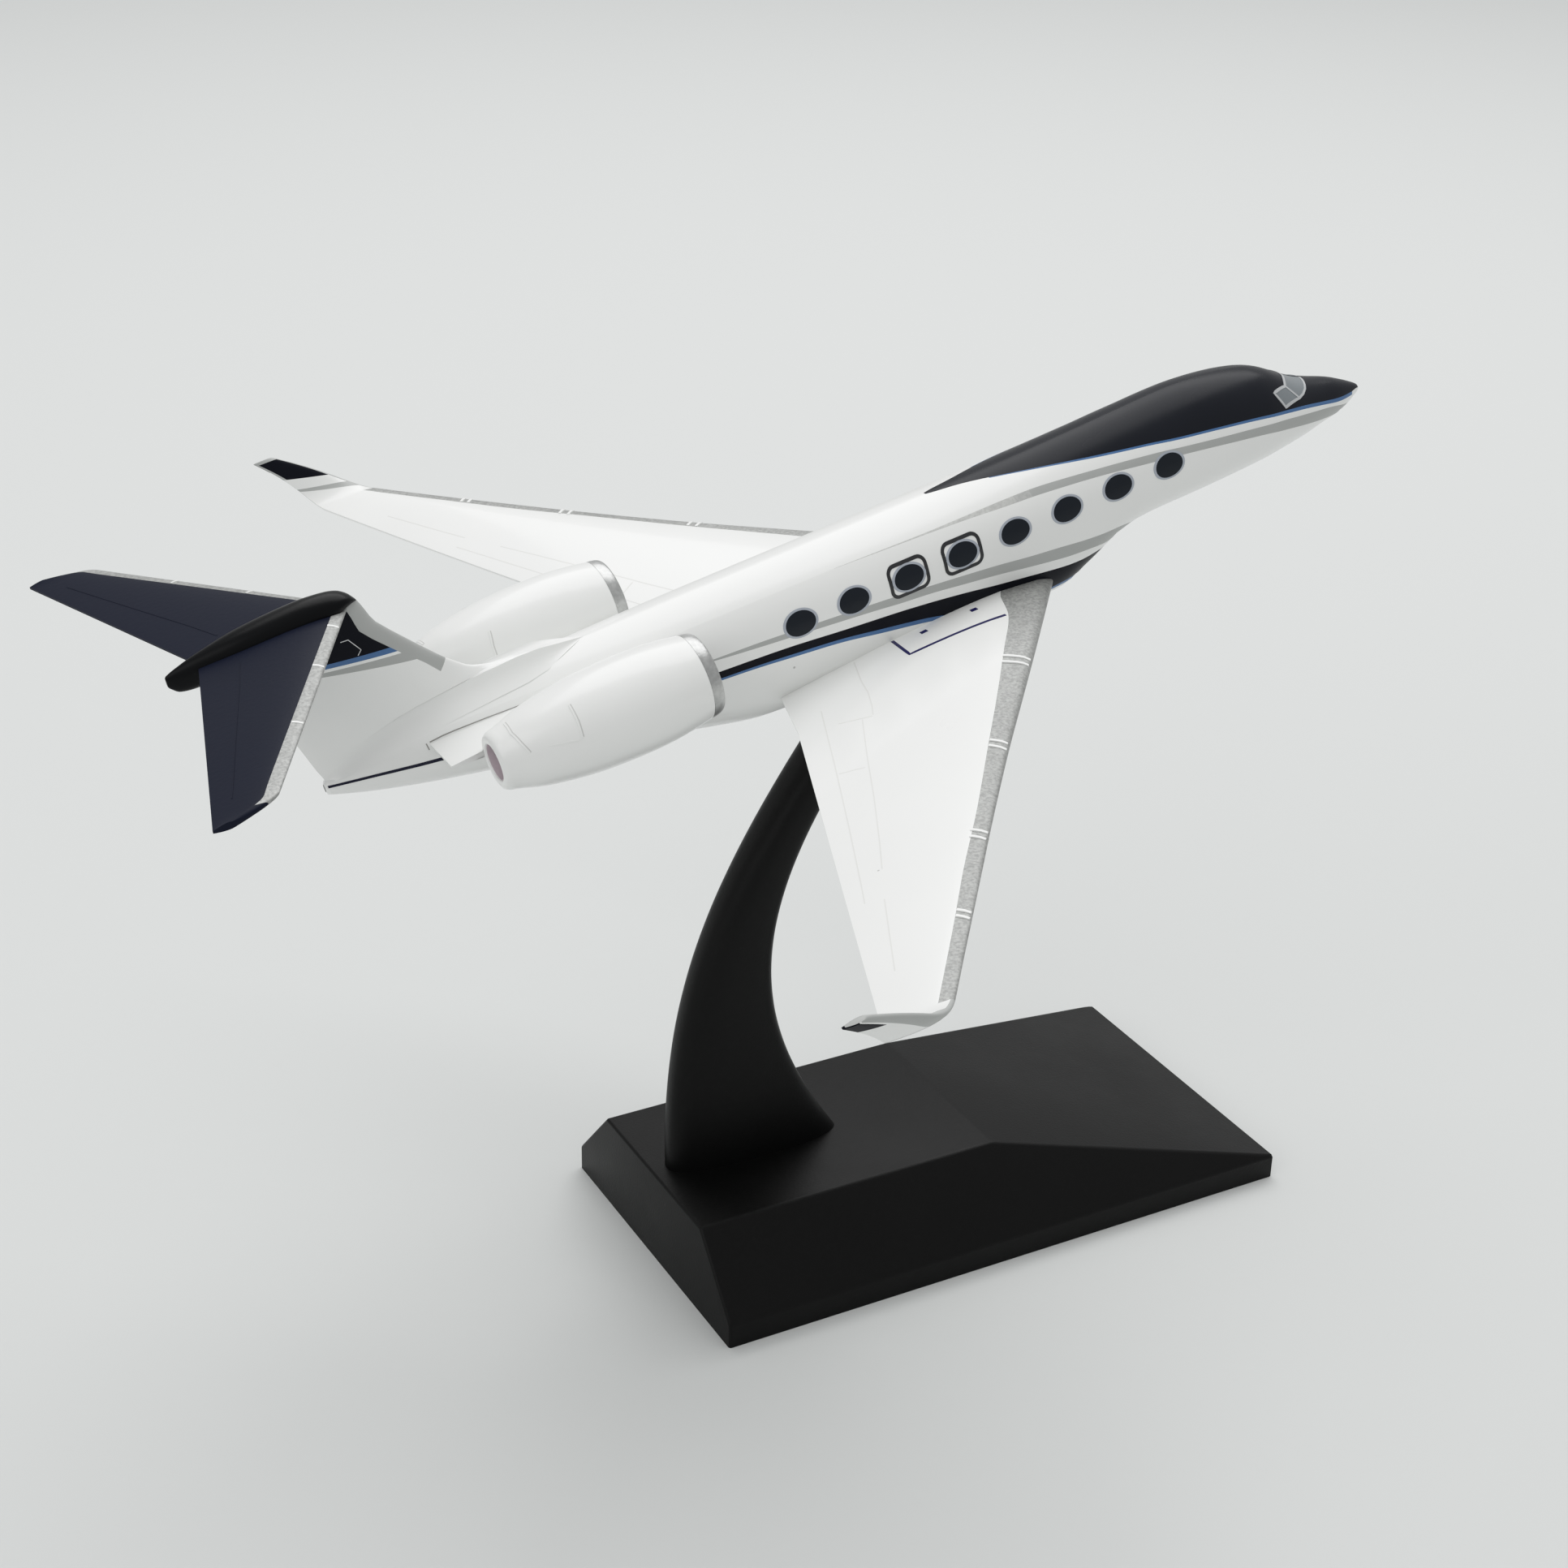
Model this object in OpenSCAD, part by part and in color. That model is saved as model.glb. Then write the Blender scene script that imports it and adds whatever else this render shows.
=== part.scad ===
// Desk model of a twin-engined business jet on a curved display stand.
// Millimetres. The nose points along +X, +Y is the jet's left and +Z is up.
// The origin is the centre of the stand's resting face.
// Aircraft pieces are drawn in the jet's own frame: x runs back from the nose
// tip as negative values, and z = 0 is the cabin's axis.

/* [Fuselage] */
// Length from the nose tip to the end of the tail cone
fuselage_l = 134.4; // [125:0.1:150]
// Height of the round cabin
cabin_h = 12.85; // [11:0.05:15]
// Width of the cabin
cabin_w = 13.1; // [11:0.05:15]
// Length of the tapering nose
nose_l = 26; // [20:0.5:34]
// Depth of the nose tip below the cabin's axis
nose_drop = 2.65; // [1:0.05:3.5]
// Rise of the cockpit's roof above the cabin's roof
crown_rise = 0.7; // [0:0.05:1.5]
// Length of the tapering tail
tail_l = 36; // [30:0.5:42]
// Height of the tail cone's end above the cabin's axis
tail_end_z = 1.5; // [0.5:0.1:2.5]
// Depth of the belly fairing's underside below the cabin's axis
belly_depth = 10.4; // [9.5:0.1:11.5]
// How far the belly fairing starts ahead of the wing's root
belly_lead = 15; // [12:0.5:18]
// Wall of the moulded fuselage shells
shell_t = 1.3; // [1:0.1:1.8]

/* [Wing] */
// Distance from the nose tip back to the wing root's leading edge
wing_x = 49.3; // [46:0.1:52]
// Distance of the wing root's rib from the middle of the jet
wing_root_y = 6.7; // [6:0.1:7.2]
// Depth of the wing root's chord line below the cabin's axis
wing_drop = 7.2; // [6.8:0.1:7.6]
// Chord at the root rib
root_chord = 35.4; // [33:0.1:38]
// Distance of the bend in the trailing edge from the middle of the jet
kink_y = 14.4; // [12:0.1:18]
// Chord at the bend in the trailing edge
kink_chord = 31.4; // [28:0.1:33]
// Distance of the flat wing's end, where the winglet starts to curl up
tip_y = 71; // [60:0.5:76]
// Chord at the end of the flat wing
tip_chord = 7.5; // [6:0.1:10]
// Sweep of the leading edge in degrees
wing_sweep = 39; // [34:0.5:42]
// Upward slope of the wing at its root in degrees
dihedral = 3.4; // [1:0.1:5]
// Extra rise of the wing's end from its upward bend
wing_flex = 1.5; // [0:0.1:3]
// Thickness of the wing at the root rib
root_t = 3.7; // [3:0.1:4.2]
// Thickness of the wing at the end of the flat part
tip_t = 1; // [0.8:0.05:1.4]

/* [Winglet] */
// Radius of the curl between wing and winglet
curl_r = 4; // [2.5:0.1:6]
// Lean of the winglet from level in degrees
winglet_lean = 66; // [45:1:80]
// Length of the straight part of the winglet
winglet_l = 5; // [3:0.1:8]
// Chord at the winglet's top
winglet_chord = 2.6; // [2:0.1:5]
// How far the winglet's leading edge runs back
winglet_rake = 10.8; // [8:0.1:13]

/* [Engine pods] */
// Distance of each pod's intake ahead of the tail cone's end
pod_lead = 40; // [37:0.1:43]
// Distance of each pod's axis from the middle of the jet
pod_y = 11.4; // [11.2:0.1:12.5]
// Height of the pods' axes above the cabin's axis
pod_z = 3.1; // [2:0.1:4]
// Length of a pod
pod_l = 25.6; // [23:0.1:28]
// Largest diameter of a pod
pod_d = 10.8; // [9.6:0.1:11]
// Outer diameter of the cowl where it meets the intake lip
cowl_front_d = 9.4; // [8.6:0.1:9.5]
// Outer diameter of the exhaust end
exhaust_d = 6; // [5:0.1:6.4]
// Diameter of the intake duct
duct_d = 7.6; // [6.6:0.1:7.8]
// Depth of the metal-finished intake lip
lip_depth = 1.7; // [1.2:0.1:2.4]
// Distance from the lip's front to the fan's face
fan_depth = 4.6; // [4:0.1:6]
// Number of fan blades
fan_blades = 16; // [10:1:16]
// Thickness of a pylon
pylon_t = 1.6; // [1.2:0.1:2]

/* [Tail] */
// Distance of the fin's trailing edge ahead of the tail cone's end, on the cabin's axis
fin_te_lead = 0.9; // [0.5:0.1:2]
// Lean of the fin's trailing edge: run back for each millimetre of height
fin_te_rake = 0.31; // [0.2:0.01:0.4]
// Height of the top of the fin above the cabin's axis
fin_top_z = 19; // [17:0.1:22]
// Height of the bend in the fin's leading edge above the cabin's axis
fin_kink_z = 17.3; // [15:0.1:17.6]
// Chord of the fin at its top
fin_top_chord = 13.8; // [12:0.1:15]
// Thickness of the fin above its root fillet
fin_t = 2.2; // [1.6:0.1:2.8]
// Length of the bullet fairing on top of the fin
bullet_l = 20.7; // [19:0.1:23]
// Width of the bullet fairing
bullet_w = 4; // [3.4:0.1:5]
// Distance from tip to tip of the tailplane
tailplane_span = 63.2; // [50:0.2:70]
// Chord of a stabiliser at the bullet
stab_root_chord = 15.6; // [13:0.1:16]
// Chord of a stabiliser just inside its rounded tip
stab_tip_chord = 6.6; // [5:0.1:8]
// Sweep of the stabilisers' leading edge in degrees
stab_sweep = 31.4; // [26:0.1:36]
// Thickness of a stabiliser at its root
stab_t = 1.5; // [1.2:0.1:1.8]

/* [Stand] */
// Length of the base
base_l = 78; // [70:1:90]
// Width of the base
base_w = 41.2; // [36:0.2:50]
// Height of the upright wall round the base
base_wall_h = 3.2; // [2.5:0.1:5]
// Height of the base's raised deck
deck_z = 11.9; // [10:0.1:14]
// Slant of each side: how far the deck is set in from the wall
deck_inset = 7.8; // [5:0.1:9]
// Length of the level deck from the rear
deck_l = 40; // [36:0.5:46]
// Wall of the hollow base
base_t = 2; // [1.6:0.1:2.6]
// Thickness of the foam pad under the base
pad_t = 1; // [0.8:0.1:1.6]
// Length of the arm's foot on the deck
foot_l = 22.7; // [18:0.1:25]
// Distance of the arm's heel from the rear edge of the base
heel_gap = 2; // [1:0.1:4]
// Thickness of the arm
arm_t = 6; // [5:0.1:7]
// Length of the arm's head under the jet
head_l = 9.6; // [9:0.1:12]
// Height of the arm's head above the floor
head_z = 74.4; // [60:0.2:90]
// Distance of the arm's head ahead of the middle of the base
head_x = -8.3; // [-16:0.1:2]
// Climb of the jet's axis in degrees
climb = 12.8; // [6:0.1:16]
// Distance from the nose tip back to the stand's socket
socket_x = 67; // [64:0.1:70]
// Length of the arm's tongue along the jet
tongue_l = 6.4; // [5:0.1:7]
// Thickness of the arm's tongue
tongue_w = 2.8; // [2.2:0.1:3.2]
// Height of the arm's tongue
tongue_h = 8; // [6:0.1:9]
// Diameter of the screws that hold the arm
screw_d = 2.2; // [1.8:0.1:2.6]
// Length of the screws under their heads
screw_l = 8; // [6:0.5:10]

/* [Clearances] */
// Gap round a part that is glued in a slot
glue_gap = 0.1; // [0.05:0.01:0.2]
// Gap round the tongue that lets the jet lift off
slide_gap = 0.15; // [0.1:0.01:0.25]
// Gap between a screw's shank and the deck
screw_gap = 0.15; // [0.1:0.01:0.3]
// Gap between the socket's rim and the arm's head it rests on
seat_gap = 0.05; // [0.02:0.01:0.1]

/* [Hidden] */
$fn = 48;

white = "#ecedea";
navy = "#262b38";
silver = "#b9bab8";
black = "#161616";
grey = "#8b8e8c";

cabin_r = cabin_h / 2;
half_w = cabin_w / 2;
wing_te = wing_x + root_chord;
cone = fuselage_l - tail_l;
socket_z = -belly_depth - 0.2;

// Smooth interpolation through the rows of a table, whose first column rises
function row_at(t, x, i = 0) = i >= len(t) - 2 || x < t[i + 1][0] ? i : row_at(t, x, i + 1);
function rise(t, i, k) =
    let (a = max(i - 1, 0), b = min(i + 1, len(t) - 1))
    (t[b][k] - t[a][k]) / (t[b][0] - t[a][0]);
function flow(t, x, k = 1) =
    let (i = row_at(t, x), h = t[i + 1][0] - t[i][0], u = (x - t[i][0]) / h)
    let (a = t[i][k], b = t[i + 1][k], m = rise(t, i, k) * h, n = rise(t, i + 1, k) * h)
    a + u * (m + u * (3 * (b - a) - 2 * m - n + u * (2 * (a - b) + m + n)));
function mix(a, b, u) = a + (b - a) * u;

// Places a piece from the jet's own frame on top of the stand
module in_flight() {
    translate([head_x, 0, head_z])
        rotate([0, -climb, 0])
            translate([socket_x, 0, -socket_z])
                children();
}

// Left pieces as drawn, right pieces mirrored
module on_side(side) {
    if (side > 0)
        children();
    else
        mirror([0, 1, 0]) children();
}

// Solid skin over rings of equally many points, each ring running
// anticlockwise when it is seen from outside the first one
module loft(rings, bent_end = false) {
    n = len(rings[0]);
    last = len(rings) - 1;
    end = last * n;
    // A bent end face is made of strips that run straight across the ring
    strips = [for (i = [0:(n - 3) / 2]) each [
        [end + i, end + i + 1, end + n - 1 - i],
        if (i + 1 < n - 2 - i) [end + i + 1, end + n - 2 - i, end + n - 1 - i]
    ]];
    polyhedron(
        points = [for (r = rings) each r],
        faces = [
            [for (i = [n - 1:-1:0]) i],
            for (k = [0:last - 1], i = [0:n - 1])
                [k * n + i, k * n + (i + 1) % n, (k + 1) * n + (i + 1) % n, (k + 1) * n + i],
            each (bent_end ? strips : [[for (i = [0:n - 1]) end + i]])
        ]
    );
}

// Aerofoil outline of unit chord, from the tail along the underside and back
// over the top: place along the chord, share of the thickness, side
foil_steps = 9;
function foil_half(u) =
    5 * (0.2969 * sqrt(u) - 0.126 * u - 0.3516 * u * u + 0.2843 * pow(u, 3) - 0.1036 * pow(u, 4));
function foil_u(i) = (1 + cos(180 * i / foil_steps)) / 2;
foil = concat(
    [for (i = [0:foil_steps]) [foil_u(i), foil_half(foil_u(i)), -1]],
    [for (i = [foil_steps - 1:-1:0]) [foil_u(i), foil_half(foil_u(i)), 1]]
);
foil_tail = 0.24;

// Aerofoil ring across the jet: place, leading edge, chord, thickness, lean, room all round
function foil_ring(y, z, le, chord, t, lean = 0, room = 0) = [
    for (p = foil)
        let (v = p[2] * (p[1] * (t + 2 * room) + foil_tail / 2 * p[0]))
        [-(le - room) - (chord + 2 * room) * p[0], y - v * sin(lean), z + v * cos(lean)]
];

// Fuselage outline, one row for each station behind the nose tip:
// station, roof, keel, half width, waist height, squareness of the lower half
roof = cabin_r + crown_rise;
belly_start = wing_x - belly_lead;
outline = [
    [0, -nose_drop + 0.15, -nose_drop - 0.15, 0.2, -nose_drop, 2],
    [nose_l * 0.03, mix(-nose_drop, roof, 0.07), -nose_drop - 0.55, 0.85, -nose_drop + 0.1, 2],
    [nose_l * 0.08, mix(-nose_drop, roof, 0.15), -nose_drop - 1.1, 1.6, -nose_drop + 0.2, 2],
    [nose_l * 0.16, mix(-nose_drop, roof, 0.26), -nose_drop - 1.75, 2.5, -nose_drop + 0.4, 2],
    [nose_l * 0.27, mix(-nose_drop, roof, 0.37), -nose_drop - 2.35, 3.4, -nose_drop + 0.8, 2],
    [nose_l * 0.38, mix(-nose_drop, roof, 0.5), -nose_drop - 2.8, 4.2, -nose_drop + 1.15, 2],
    [nose_l * 0.46, mix(-nose_drop, roof, 0.64), -nose_drop - 2.95, 4.75, -nose_drop + 1.4, 2],
    [nose_l * 0.54, mix(-nose_drop, roof, 0.77), -nose_drop - 3.1, 5.25, -nose_drop + 1.65, 2],
    [nose_l * 0.63, mix(-nose_drop, roof, 0.865), 0.55 - cabin_r, half_w - 0.75, -0.75, 2],
    [nose_l * 0.8, mix(-nose_drop, roof, 0.955), 0.35 - cabin_r, half_w - 0.3, -0.35, 2],
    [nose_l, roof, 0.2 - cabin_r, half_w - 0.1, -0.1, 2],
    [belly_start, mix(cabin_r, roof, 0.7), -cabin_r, half_w, 0, 2],
    [belly_start + 3.6, mix(cabin_r, roof, 0.5), -cabin_r - 0.6, half_w, 0, 2.2],
    [belly_start + 8, mix(cabin_r, roof, 0.3), mix(-cabin_r, -belly_depth, 0.66), half_w + 0.05, 0, 2.45],
    [wing_x - 2.5, mix(cabin_r, roof, 0.13), mix(-cabin_r, -belly_depth, 1.02), half_w + 0.15, 0, 2.85],
    [wing_x + 6, cabin_r, -belly_depth, half_w + 0.2, 0, 2.7],
    [wing_te - 8, cabin_r, -belly_depth - 0.3, half_w + 0.2, 0, 2.8],
    [wing_te + 1, cabin_r, -belly_depth - 0.1, half_w + 0.1, 0, 2.8],
    [wing_te + 7, cabin_r, -belly_depth + 1.1, half_w, 0, 2.6],
    [cone, cabin_r - 0.05, -cabin_r - 1.2, half_w - 0.25, 0, 2.3],
    [cone + tail_l * 0.27, cabin_r - 0.2, -cabin_r + 1.1, half_w - 0.95, 0.15, 2.1],
    [cone + tail_l * 0.5, cabin_r - 0.6, -cabin_r + 2.6, half_w - 1.95, 0.6, 2],
    [cone + tail_l * 0.72, mix(cabin_r, tail_end_z, 0.3), -cabin_r + 4.3, half_w - 3.2, 1.1, 2],
    [cone + tail_l * 0.88, mix(cabin_r, tail_end_z, 0.62), tail_end_z - 2.2, 1.9, tail_end_z - 0.2, 2],
    [fuselage_l, tail_end_z + 0.7, tail_end_z - 0.8, 0.7, tail_end_z, 2]
];

// Point on the fuselage's skin, or on its inside if a wall is given, at an
// angle that starts level on the left and rises to 90 on the roof
function skin(s, a, wall = 0) =
    let (waist = flow(outline, s, 4), half = flow(outline, s, 3) - wall)
    let (reach = a < 0 ? waist - flow(outline, s, 2) - wall : flow(outline, s, 1) - wall - waist)
    let (e = a < 0 ? 2 / flow(outline, s, 5) : 1)
    [-s, half * sign(cos(a)) * pow(abs(cos(a)), e), waist + reach * sign(a) * pow(abs(sin(a)), e)];

half_steps = 14;
nose_stations = [0, 0.35, 0.8, 1.4, 2.2, 3.2, 4.5, 6, 8, 9.5, 10.8, 12, 13.2, 14.5, 16, 18, 20.5, 23.5];
stations = concat(
    [for (s = nose_stations) s * nose_l / 26],
    [for (i = [0:7]) mix(nose_l + 1, wing_x + 4, i / 7)],
    [for (i = [1:5]) mix(wing_x + 4, wing_te + 2, i / 5)],
    [for (i = [1:10]) mix(wing_te + 2, fuselage_l, i / 10)]
);

// Left half of the fuselage's outer form, flat on the jet's middle plane
module half_form() {
    loft([
        for (s = stations)
            [for (i = [0:half_steps]) skin(s, mix(-90, 90, i / half_steps))]
    ]);
}

// Space inside the fuselage
cavity_start = 9;
cavity_end = 14;
module cavity() {
    loft([
        for (i = [0:14])
            let (s = mix(cavity_start, fuselage_l - cavity_end, i / 14))
            [for (k = [0:15]) skin(s, mix(-180, 180, k / 16), shell_t)]
    ]);
}

// Fin: height against how far the leading edge lies ahead of its top corner
fin_front = [
    [tail_end_z - 0.3, 21.5],
    [cabin_r - 1, 21],
    [cabin_r + 0.2, 18.6],
    [cabin_r + 0.8, 14.4],
    [cabin_r + 1.5, 11],
    [cabin_r + 2.3, 9.2],
    [cabin_r + 4, 7.3],
    [fin_kink_z, 1],
    [fin_top_z, 0]
];
// How far the root fillet spreads over the roof
fillet_w = 1.5;
// Heights above the roof of the rows that follow it, then the level rows
fin_root_rows = [1.9, 2.6];
fin_level_rows = [
    cabin_r + 4.2, mix(cabin_r + 4.2, fin_kink_z, 0.5), fin_kink_z - 0.3, fin_kink_z + 0.3, fin_top_z
];
// Rough stations of the fin's ends on the roof, from which the exact ones are found
fin_front_s = fuselage_l - 27;
fin_rear_s = fuselage_l - 0.4;
function fin_te(z) = fuselage_l - fin_te_lead + fin_te_rake * z;
function fin_le(z) = fin_te(fin_top_z) - fin_top_chord - flow(fin_front, z);
function roof_z(s) = flow(outline, min(s, fuselage_l), 1);
// Stations at which the fin's front and rear edges stand a height h above the roof
function front_above(h, s = fin_front_s, n = 25) =
    n == 0 ? s : front_above(h, mix(s, fin_le(roof_z(s) + h), 0.5), n - 1);
function rear_above(h, s = fin_rear_s, n = 25) =
    n == 0 ? s : rear_above(h, mix(s, fin_te(roof_z(s) + h), 0.5), n - 1);
function fin_half_t(z, u, room = 0) =
    fin_t * mix(1, 0.75, z / fin_top_z) * foil_half(u) + foil_tail / 2 * u + room;
// Half row along the fin: flat ends on the middle plane and the side between them
function fin_side(le, te, f) = concat(
    [f(1, te, 0)],
    [for (i = [0:foil_steps - 1]) let (u = foil_u(i)) f(u, mix(le, te, u), 1)],
    [f(0, le, 0)]
);
function fin_ring(z, room = 0) =
    fin_side(fin_le(z) - room, fin_te(z) + room, function (u, s, side)
        [-s, side * fin_half_t(z, u, room), z]);
function fin_root_ring(h) =
    fin_side(front_above(h), rear_above(h), function (u, s, side)
        let (z = roof_z(s) + h)
        [-s, side * fin_half_t(z, u), z]);
// Row of the root fillet, which bends out from upright at 0 to level with the roof at 90
function fillet_ring(a, sink = 0) =
    fin_side(front_above(0), rear_above(0), function (u, s, side)
        let (t = fin_half_t(roof_z(s), u))
        let (half = flow(outline, min(s, fuselage_l), 3), waist = flow(outline, s, 4))
        let (w = max(0.05, min(fillet_w * min(1, 6 * u, 9 * (1 - u) + 0.2), 0.8 * half - t)))
        let (y = side * (t + w * (1 - cos(a))))
        let (over_roof = waist + (roof_z(s) - waist) * sqrt(1 - pow(y / half, 2)))
        [-s, y, over_roof + w * (1 - sin(a)) - sink]);
module fin_half() {
    floor_z = tail_end_z + 0.2;
    loft(concat(
        [fin_side(front_above(0), fin_te(floor_z), function (u, s, side)
            [-s, side * fin_half_t(0, u) / 2, floor_z])],
        [fillet_ring(90, 0.06)],
        [for (a = [60, 30, 0]) fillet_ring(a)],
        [for (h = fin_root_rows) fin_root_ring(h)],
        [for (z = fin_level_rows) fin_ring(z)]
    ));
}
// Slot that fits over the top of the whole fin
module fin_slot() {
    loft([
        for (z = [fin_top_z - 3, fin_top_z + 0.04])
            let (half = fin_ring(z, glue_gap), n = len(half))
            [for (i = [1:2 * n - 3]) i < n ? half[i] : [half[2 * n - 2 - i][0], -half[2 * n - 2 - i][1], z]]
    ]);
}

// Flat wing: height of the chord line and edges at a distance from the middle
function wing_z(y) =
    let (out = y - wing_root_y)
    -wing_drop + out * tan(dihedral) + wing_flex * sign(out) * pow(out / (tip_y - wing_root_y), 2);
function wing_le(y) = wing_x + (y - wing_root_y) * tan(wing_sweep);
function wing_chord(y) =
    y < kink_y
        ? mix(root_chord, kink_chord, (y - wing_root_y) / (kink_y - wing_root_y))
        : mix(kink_chord, tip_chord, (y - kink_y) / (tip_y - kink_y));
function wing_t(y) =
    let (u = (y - wing_root_y) / (tip_y - wing_root_y))
    u < 0 ? root_t : tip_t + (root_t - tip_t) * pow(1 - u, 1.4);
function wing_ring(y, room = 0) = foil_ring(y, wing_z(y), wing_le(y), wing_chord(y), wing_t(y), 0, room);

// Winglet: it curls up on a radius and then runs straight
tip_slope = dihedral + atan(2 * wing_flex / (tip_y - wing_root_y));
curl = winglet_lean - tip_slope;
curl_l = curl_r * curl * PI / 180;
winglet_path = curl_l + winglet_l;
function winglet_ring(p) =
    let (lean = tip_slope + curl * min(1, p / curl_l), up = max(0, p - curl_l), u = p / winglet_path)
    let (run = p * tan(wing_sweep) + (winglet_rake - winglet_path * tan(wing_sweep)) * u * u)
    foil_ring(
        tip_y + curl_r * (sin(lean) - sin(tip_slope)) + up * cos(lean),
        wing_z(tip_y) + curl_r * (cos(tip_slope) - cos(lean)) + up * sin(lean),
        wing_le(tip_y) + run, mix(tip_chord, winglet_chord, u), mix(tip_t, 0.6, u), lean
    );
stub_y = 3.5;
wing_places = [stub_y, wing_root_y, 0.6 * kink_y + 0.4 * wing_root_y, kink_y];
module wing_form() {
    loft(concat(
        [for (y = wing_places) wing_ring(y)],
        [for (i = [1:7]) wing_ring(mix(kink_y, tip_y, i / 7))],
        [for (i = [1:6]) winglet_ring(curl_l * i / 6)],
        [for (i = [1:3]) winglet_ring(curl_l + winglet_l * i / 3)]
    ));
}
module wing_pocket() {
    loft([for (y = [stub_y - 1.5, wing_root_y, kink_y]) wing_ring(y, glue_gap)]);
}

// Engine pod, drawn round +Z from its intake at 0 towards its exhaust
pod_profile = [
    [lip_depth, cowl_front_d / 2],
    [pod_l * 0.13, mix(cowl_front_d, pod_d, 0.4) / 2],
    [pod_l * 0.25, mix(cowl_front_d, pod_d, 0.88) / 2],
    [pod_l * 0.4, pod_d / 2],
    [pod_l * 0.6, pod_d / 2 - 0.25],
    [pod_l * 0.8, mix(exhaust_d, pod_d, 0.56) / 2],
    [pod_l * 0.93, mix(exhaust_d, pod_d, 0.15) / 2],
    [pod_l, exhaust_d / 2]
];
pod_steps = 22;
fan_t = 1;
throat_d = duct_d - 1.2;
nozzle_bore = exhaust_d - 1;
nozzle_l = 4.2;
module pod_axis() {
    translate([-pod_x, pod_y, pod_z])
        rotate([0, -90, 0])
            children();
}
module cowl_form() {
    rotate_extrude()
        polygon(concat(
            [[0, lip_depth]],
            [for (i = [0:pod_steps])
                let (t = mix(lip_depth, pod_l, i / pod_steps))
                [flow(pod_profile, t), t]],
            [[0, pod_l]]
        ));
}
module duct() {
    seat = fan_depth + fan_t;
    rotate_extrude()
        polygon([
            [0, lip_depth - 1],
            [duct_d / 2, lip_depth - 1],
            [duct_d / 2, seat],
            [throat_d / 2, seat],
            [throat_d / 2, pod_l * 0.6],
            [nozzle_bore / 2 - 0.6, pod_l - nozzle_l - 1],
            [nozzle_bore / 2 - 0.6, pod_l - nozzle_l],
            [nozzle_bore / 2, pod_l - nozzle_l],
            [nozzle_bore / 2, pod_l + 1],
            [0, pod_l + 1]
        ]);
}

// Pylon: its outer end is hollowed to the pod's cowl and slants in behind it
pod_x = fuselage_l - pod_lead;
pylon_le = pod_x + 0.254 * pod_l;
pylon_te = pod_x + 1.137 * pod_l;
pylon_stub = 1.8;
pylon_te_y = pod_y - exhaust_d / 2 - 1.3;
pylon_slant = 0.36;
function pylon_ring(y, room = 0) =
    foil_ring(y, pod_z, pylon_le, pylon_te - pylon_le, pylon_t, 0, room);
function cowl_side(s, z) =
    let (r = flow(pod_profile, min(s - pod_x, pod_l)) + glue_gap)
    pod_y - sqrt(r * r - (z - pod_z) * (z - pod_z));
module pylon_form() {
    loft(
        [
            pylon_ring(pylon_stub),
            [for (p = pylon_ring(pylon_te_y))
                [p[0], min(cowl_side(-p[0], p[2]), pylon_te_y + pylon_slant * (pylon_te + p[0])), p[2]]]
        ],
        bent_end = true
    );
}
module pylon_slot() {
    loft([for (y = [pylon_stub, pod_y]) pylon_ring(y, glue_gap)]);
}

// Bullet: station behind its nose, top, underside and half width, over the fin's top
bullet_x = fin_te(fin_top_z) - fin_top_chord;
bullet_form_rows = [
    [0, 1.75, 0.25, 0.16 * bullet_w / 2],
    [0.05, 2.4, 0, 0.54 * bullet_w / 2],
    [0.15, 3.1, -0.15, 0.84 * bullet_w / 2],
    [0.3, 3.45, -0.35, bullet_w / 2],
    [0.6, 3.1, -0.5, 0.9 * bullet_w / 2],
    [0.82, 2.3, -1.1, 0.6 * bullet_w / 2],
    [0.95, 1.6, -0.9, 0.3 * bullet_w / 2],
    [1, 1.2, 0, 0.12 * bullet_w / 2]
];
bullet_places = [0, 0.02, 0.05, 0.1, 0.15, 0.22, 0.3, 0.4, 0.5, 0.6, 0.7, 0.78, 0.86, 0.93, 0.98, 1];
module bullet_form() {
    loft([
        for (u = bullet_places)
            let (top = flow(bullet_form_rows, u, 1), low = flow(bullet_form_rows, u, 2))
            [for (k = [0:15])
                [-bullet_x - u * bullet_l,
                 flow(bullet_form_rows, u, 3) * cos(k * 22.5),
                 fin_top_z + (top + low) / 2 + (top - low) / 2 * sin(k * 22.5)]]
    ]);
}

// Stabiliser, with its outer front corner rounded off
stab_z = fin_top_z + 1.1;
stab_y = bullet_w / 2;
stab_tip_y = tailplane_span / 2;
round_y = stab_tip_y - 2;
function stab_le(y) = bullet_x + 2.5 + (y - stab_y) * tan(stab_sweep);
function stab_chord(y) = mix(stab_root_chord, stab_tip_chord, (y - stab_y) / (round_y - stab_y));
function stab_ring(y, room = 0) =
    let (cut = y <= round_y ? 0 : 3.4 * pow((y - round_y) / (stab_tip_y - round_y), 2))
    foil_ring(
        y, stab_z, stab_le(y) + cut, stab_chord(y) - cut, mix(stab_t, 0.7, y / stab_tip_y), 0, room
    );
stab_stub = 0.5;
module stab_form() {
    loft(concat(
        [stab_ring(stab_stub), stab_ring(stab_y)],
        [for (i = [1:4]) stab_ring(mix(stab_y, round_y, i / 4))],
        [for (i = [1:3]) stab_ring(mix(round_y, stab_tip_y, i / 3))]
    ));
}
module stab_pocket() {
    loft([for (y = [stab_stub - 0.1, stab_y + 1]) stab_ring(y, glue_gap)]);
}

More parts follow.
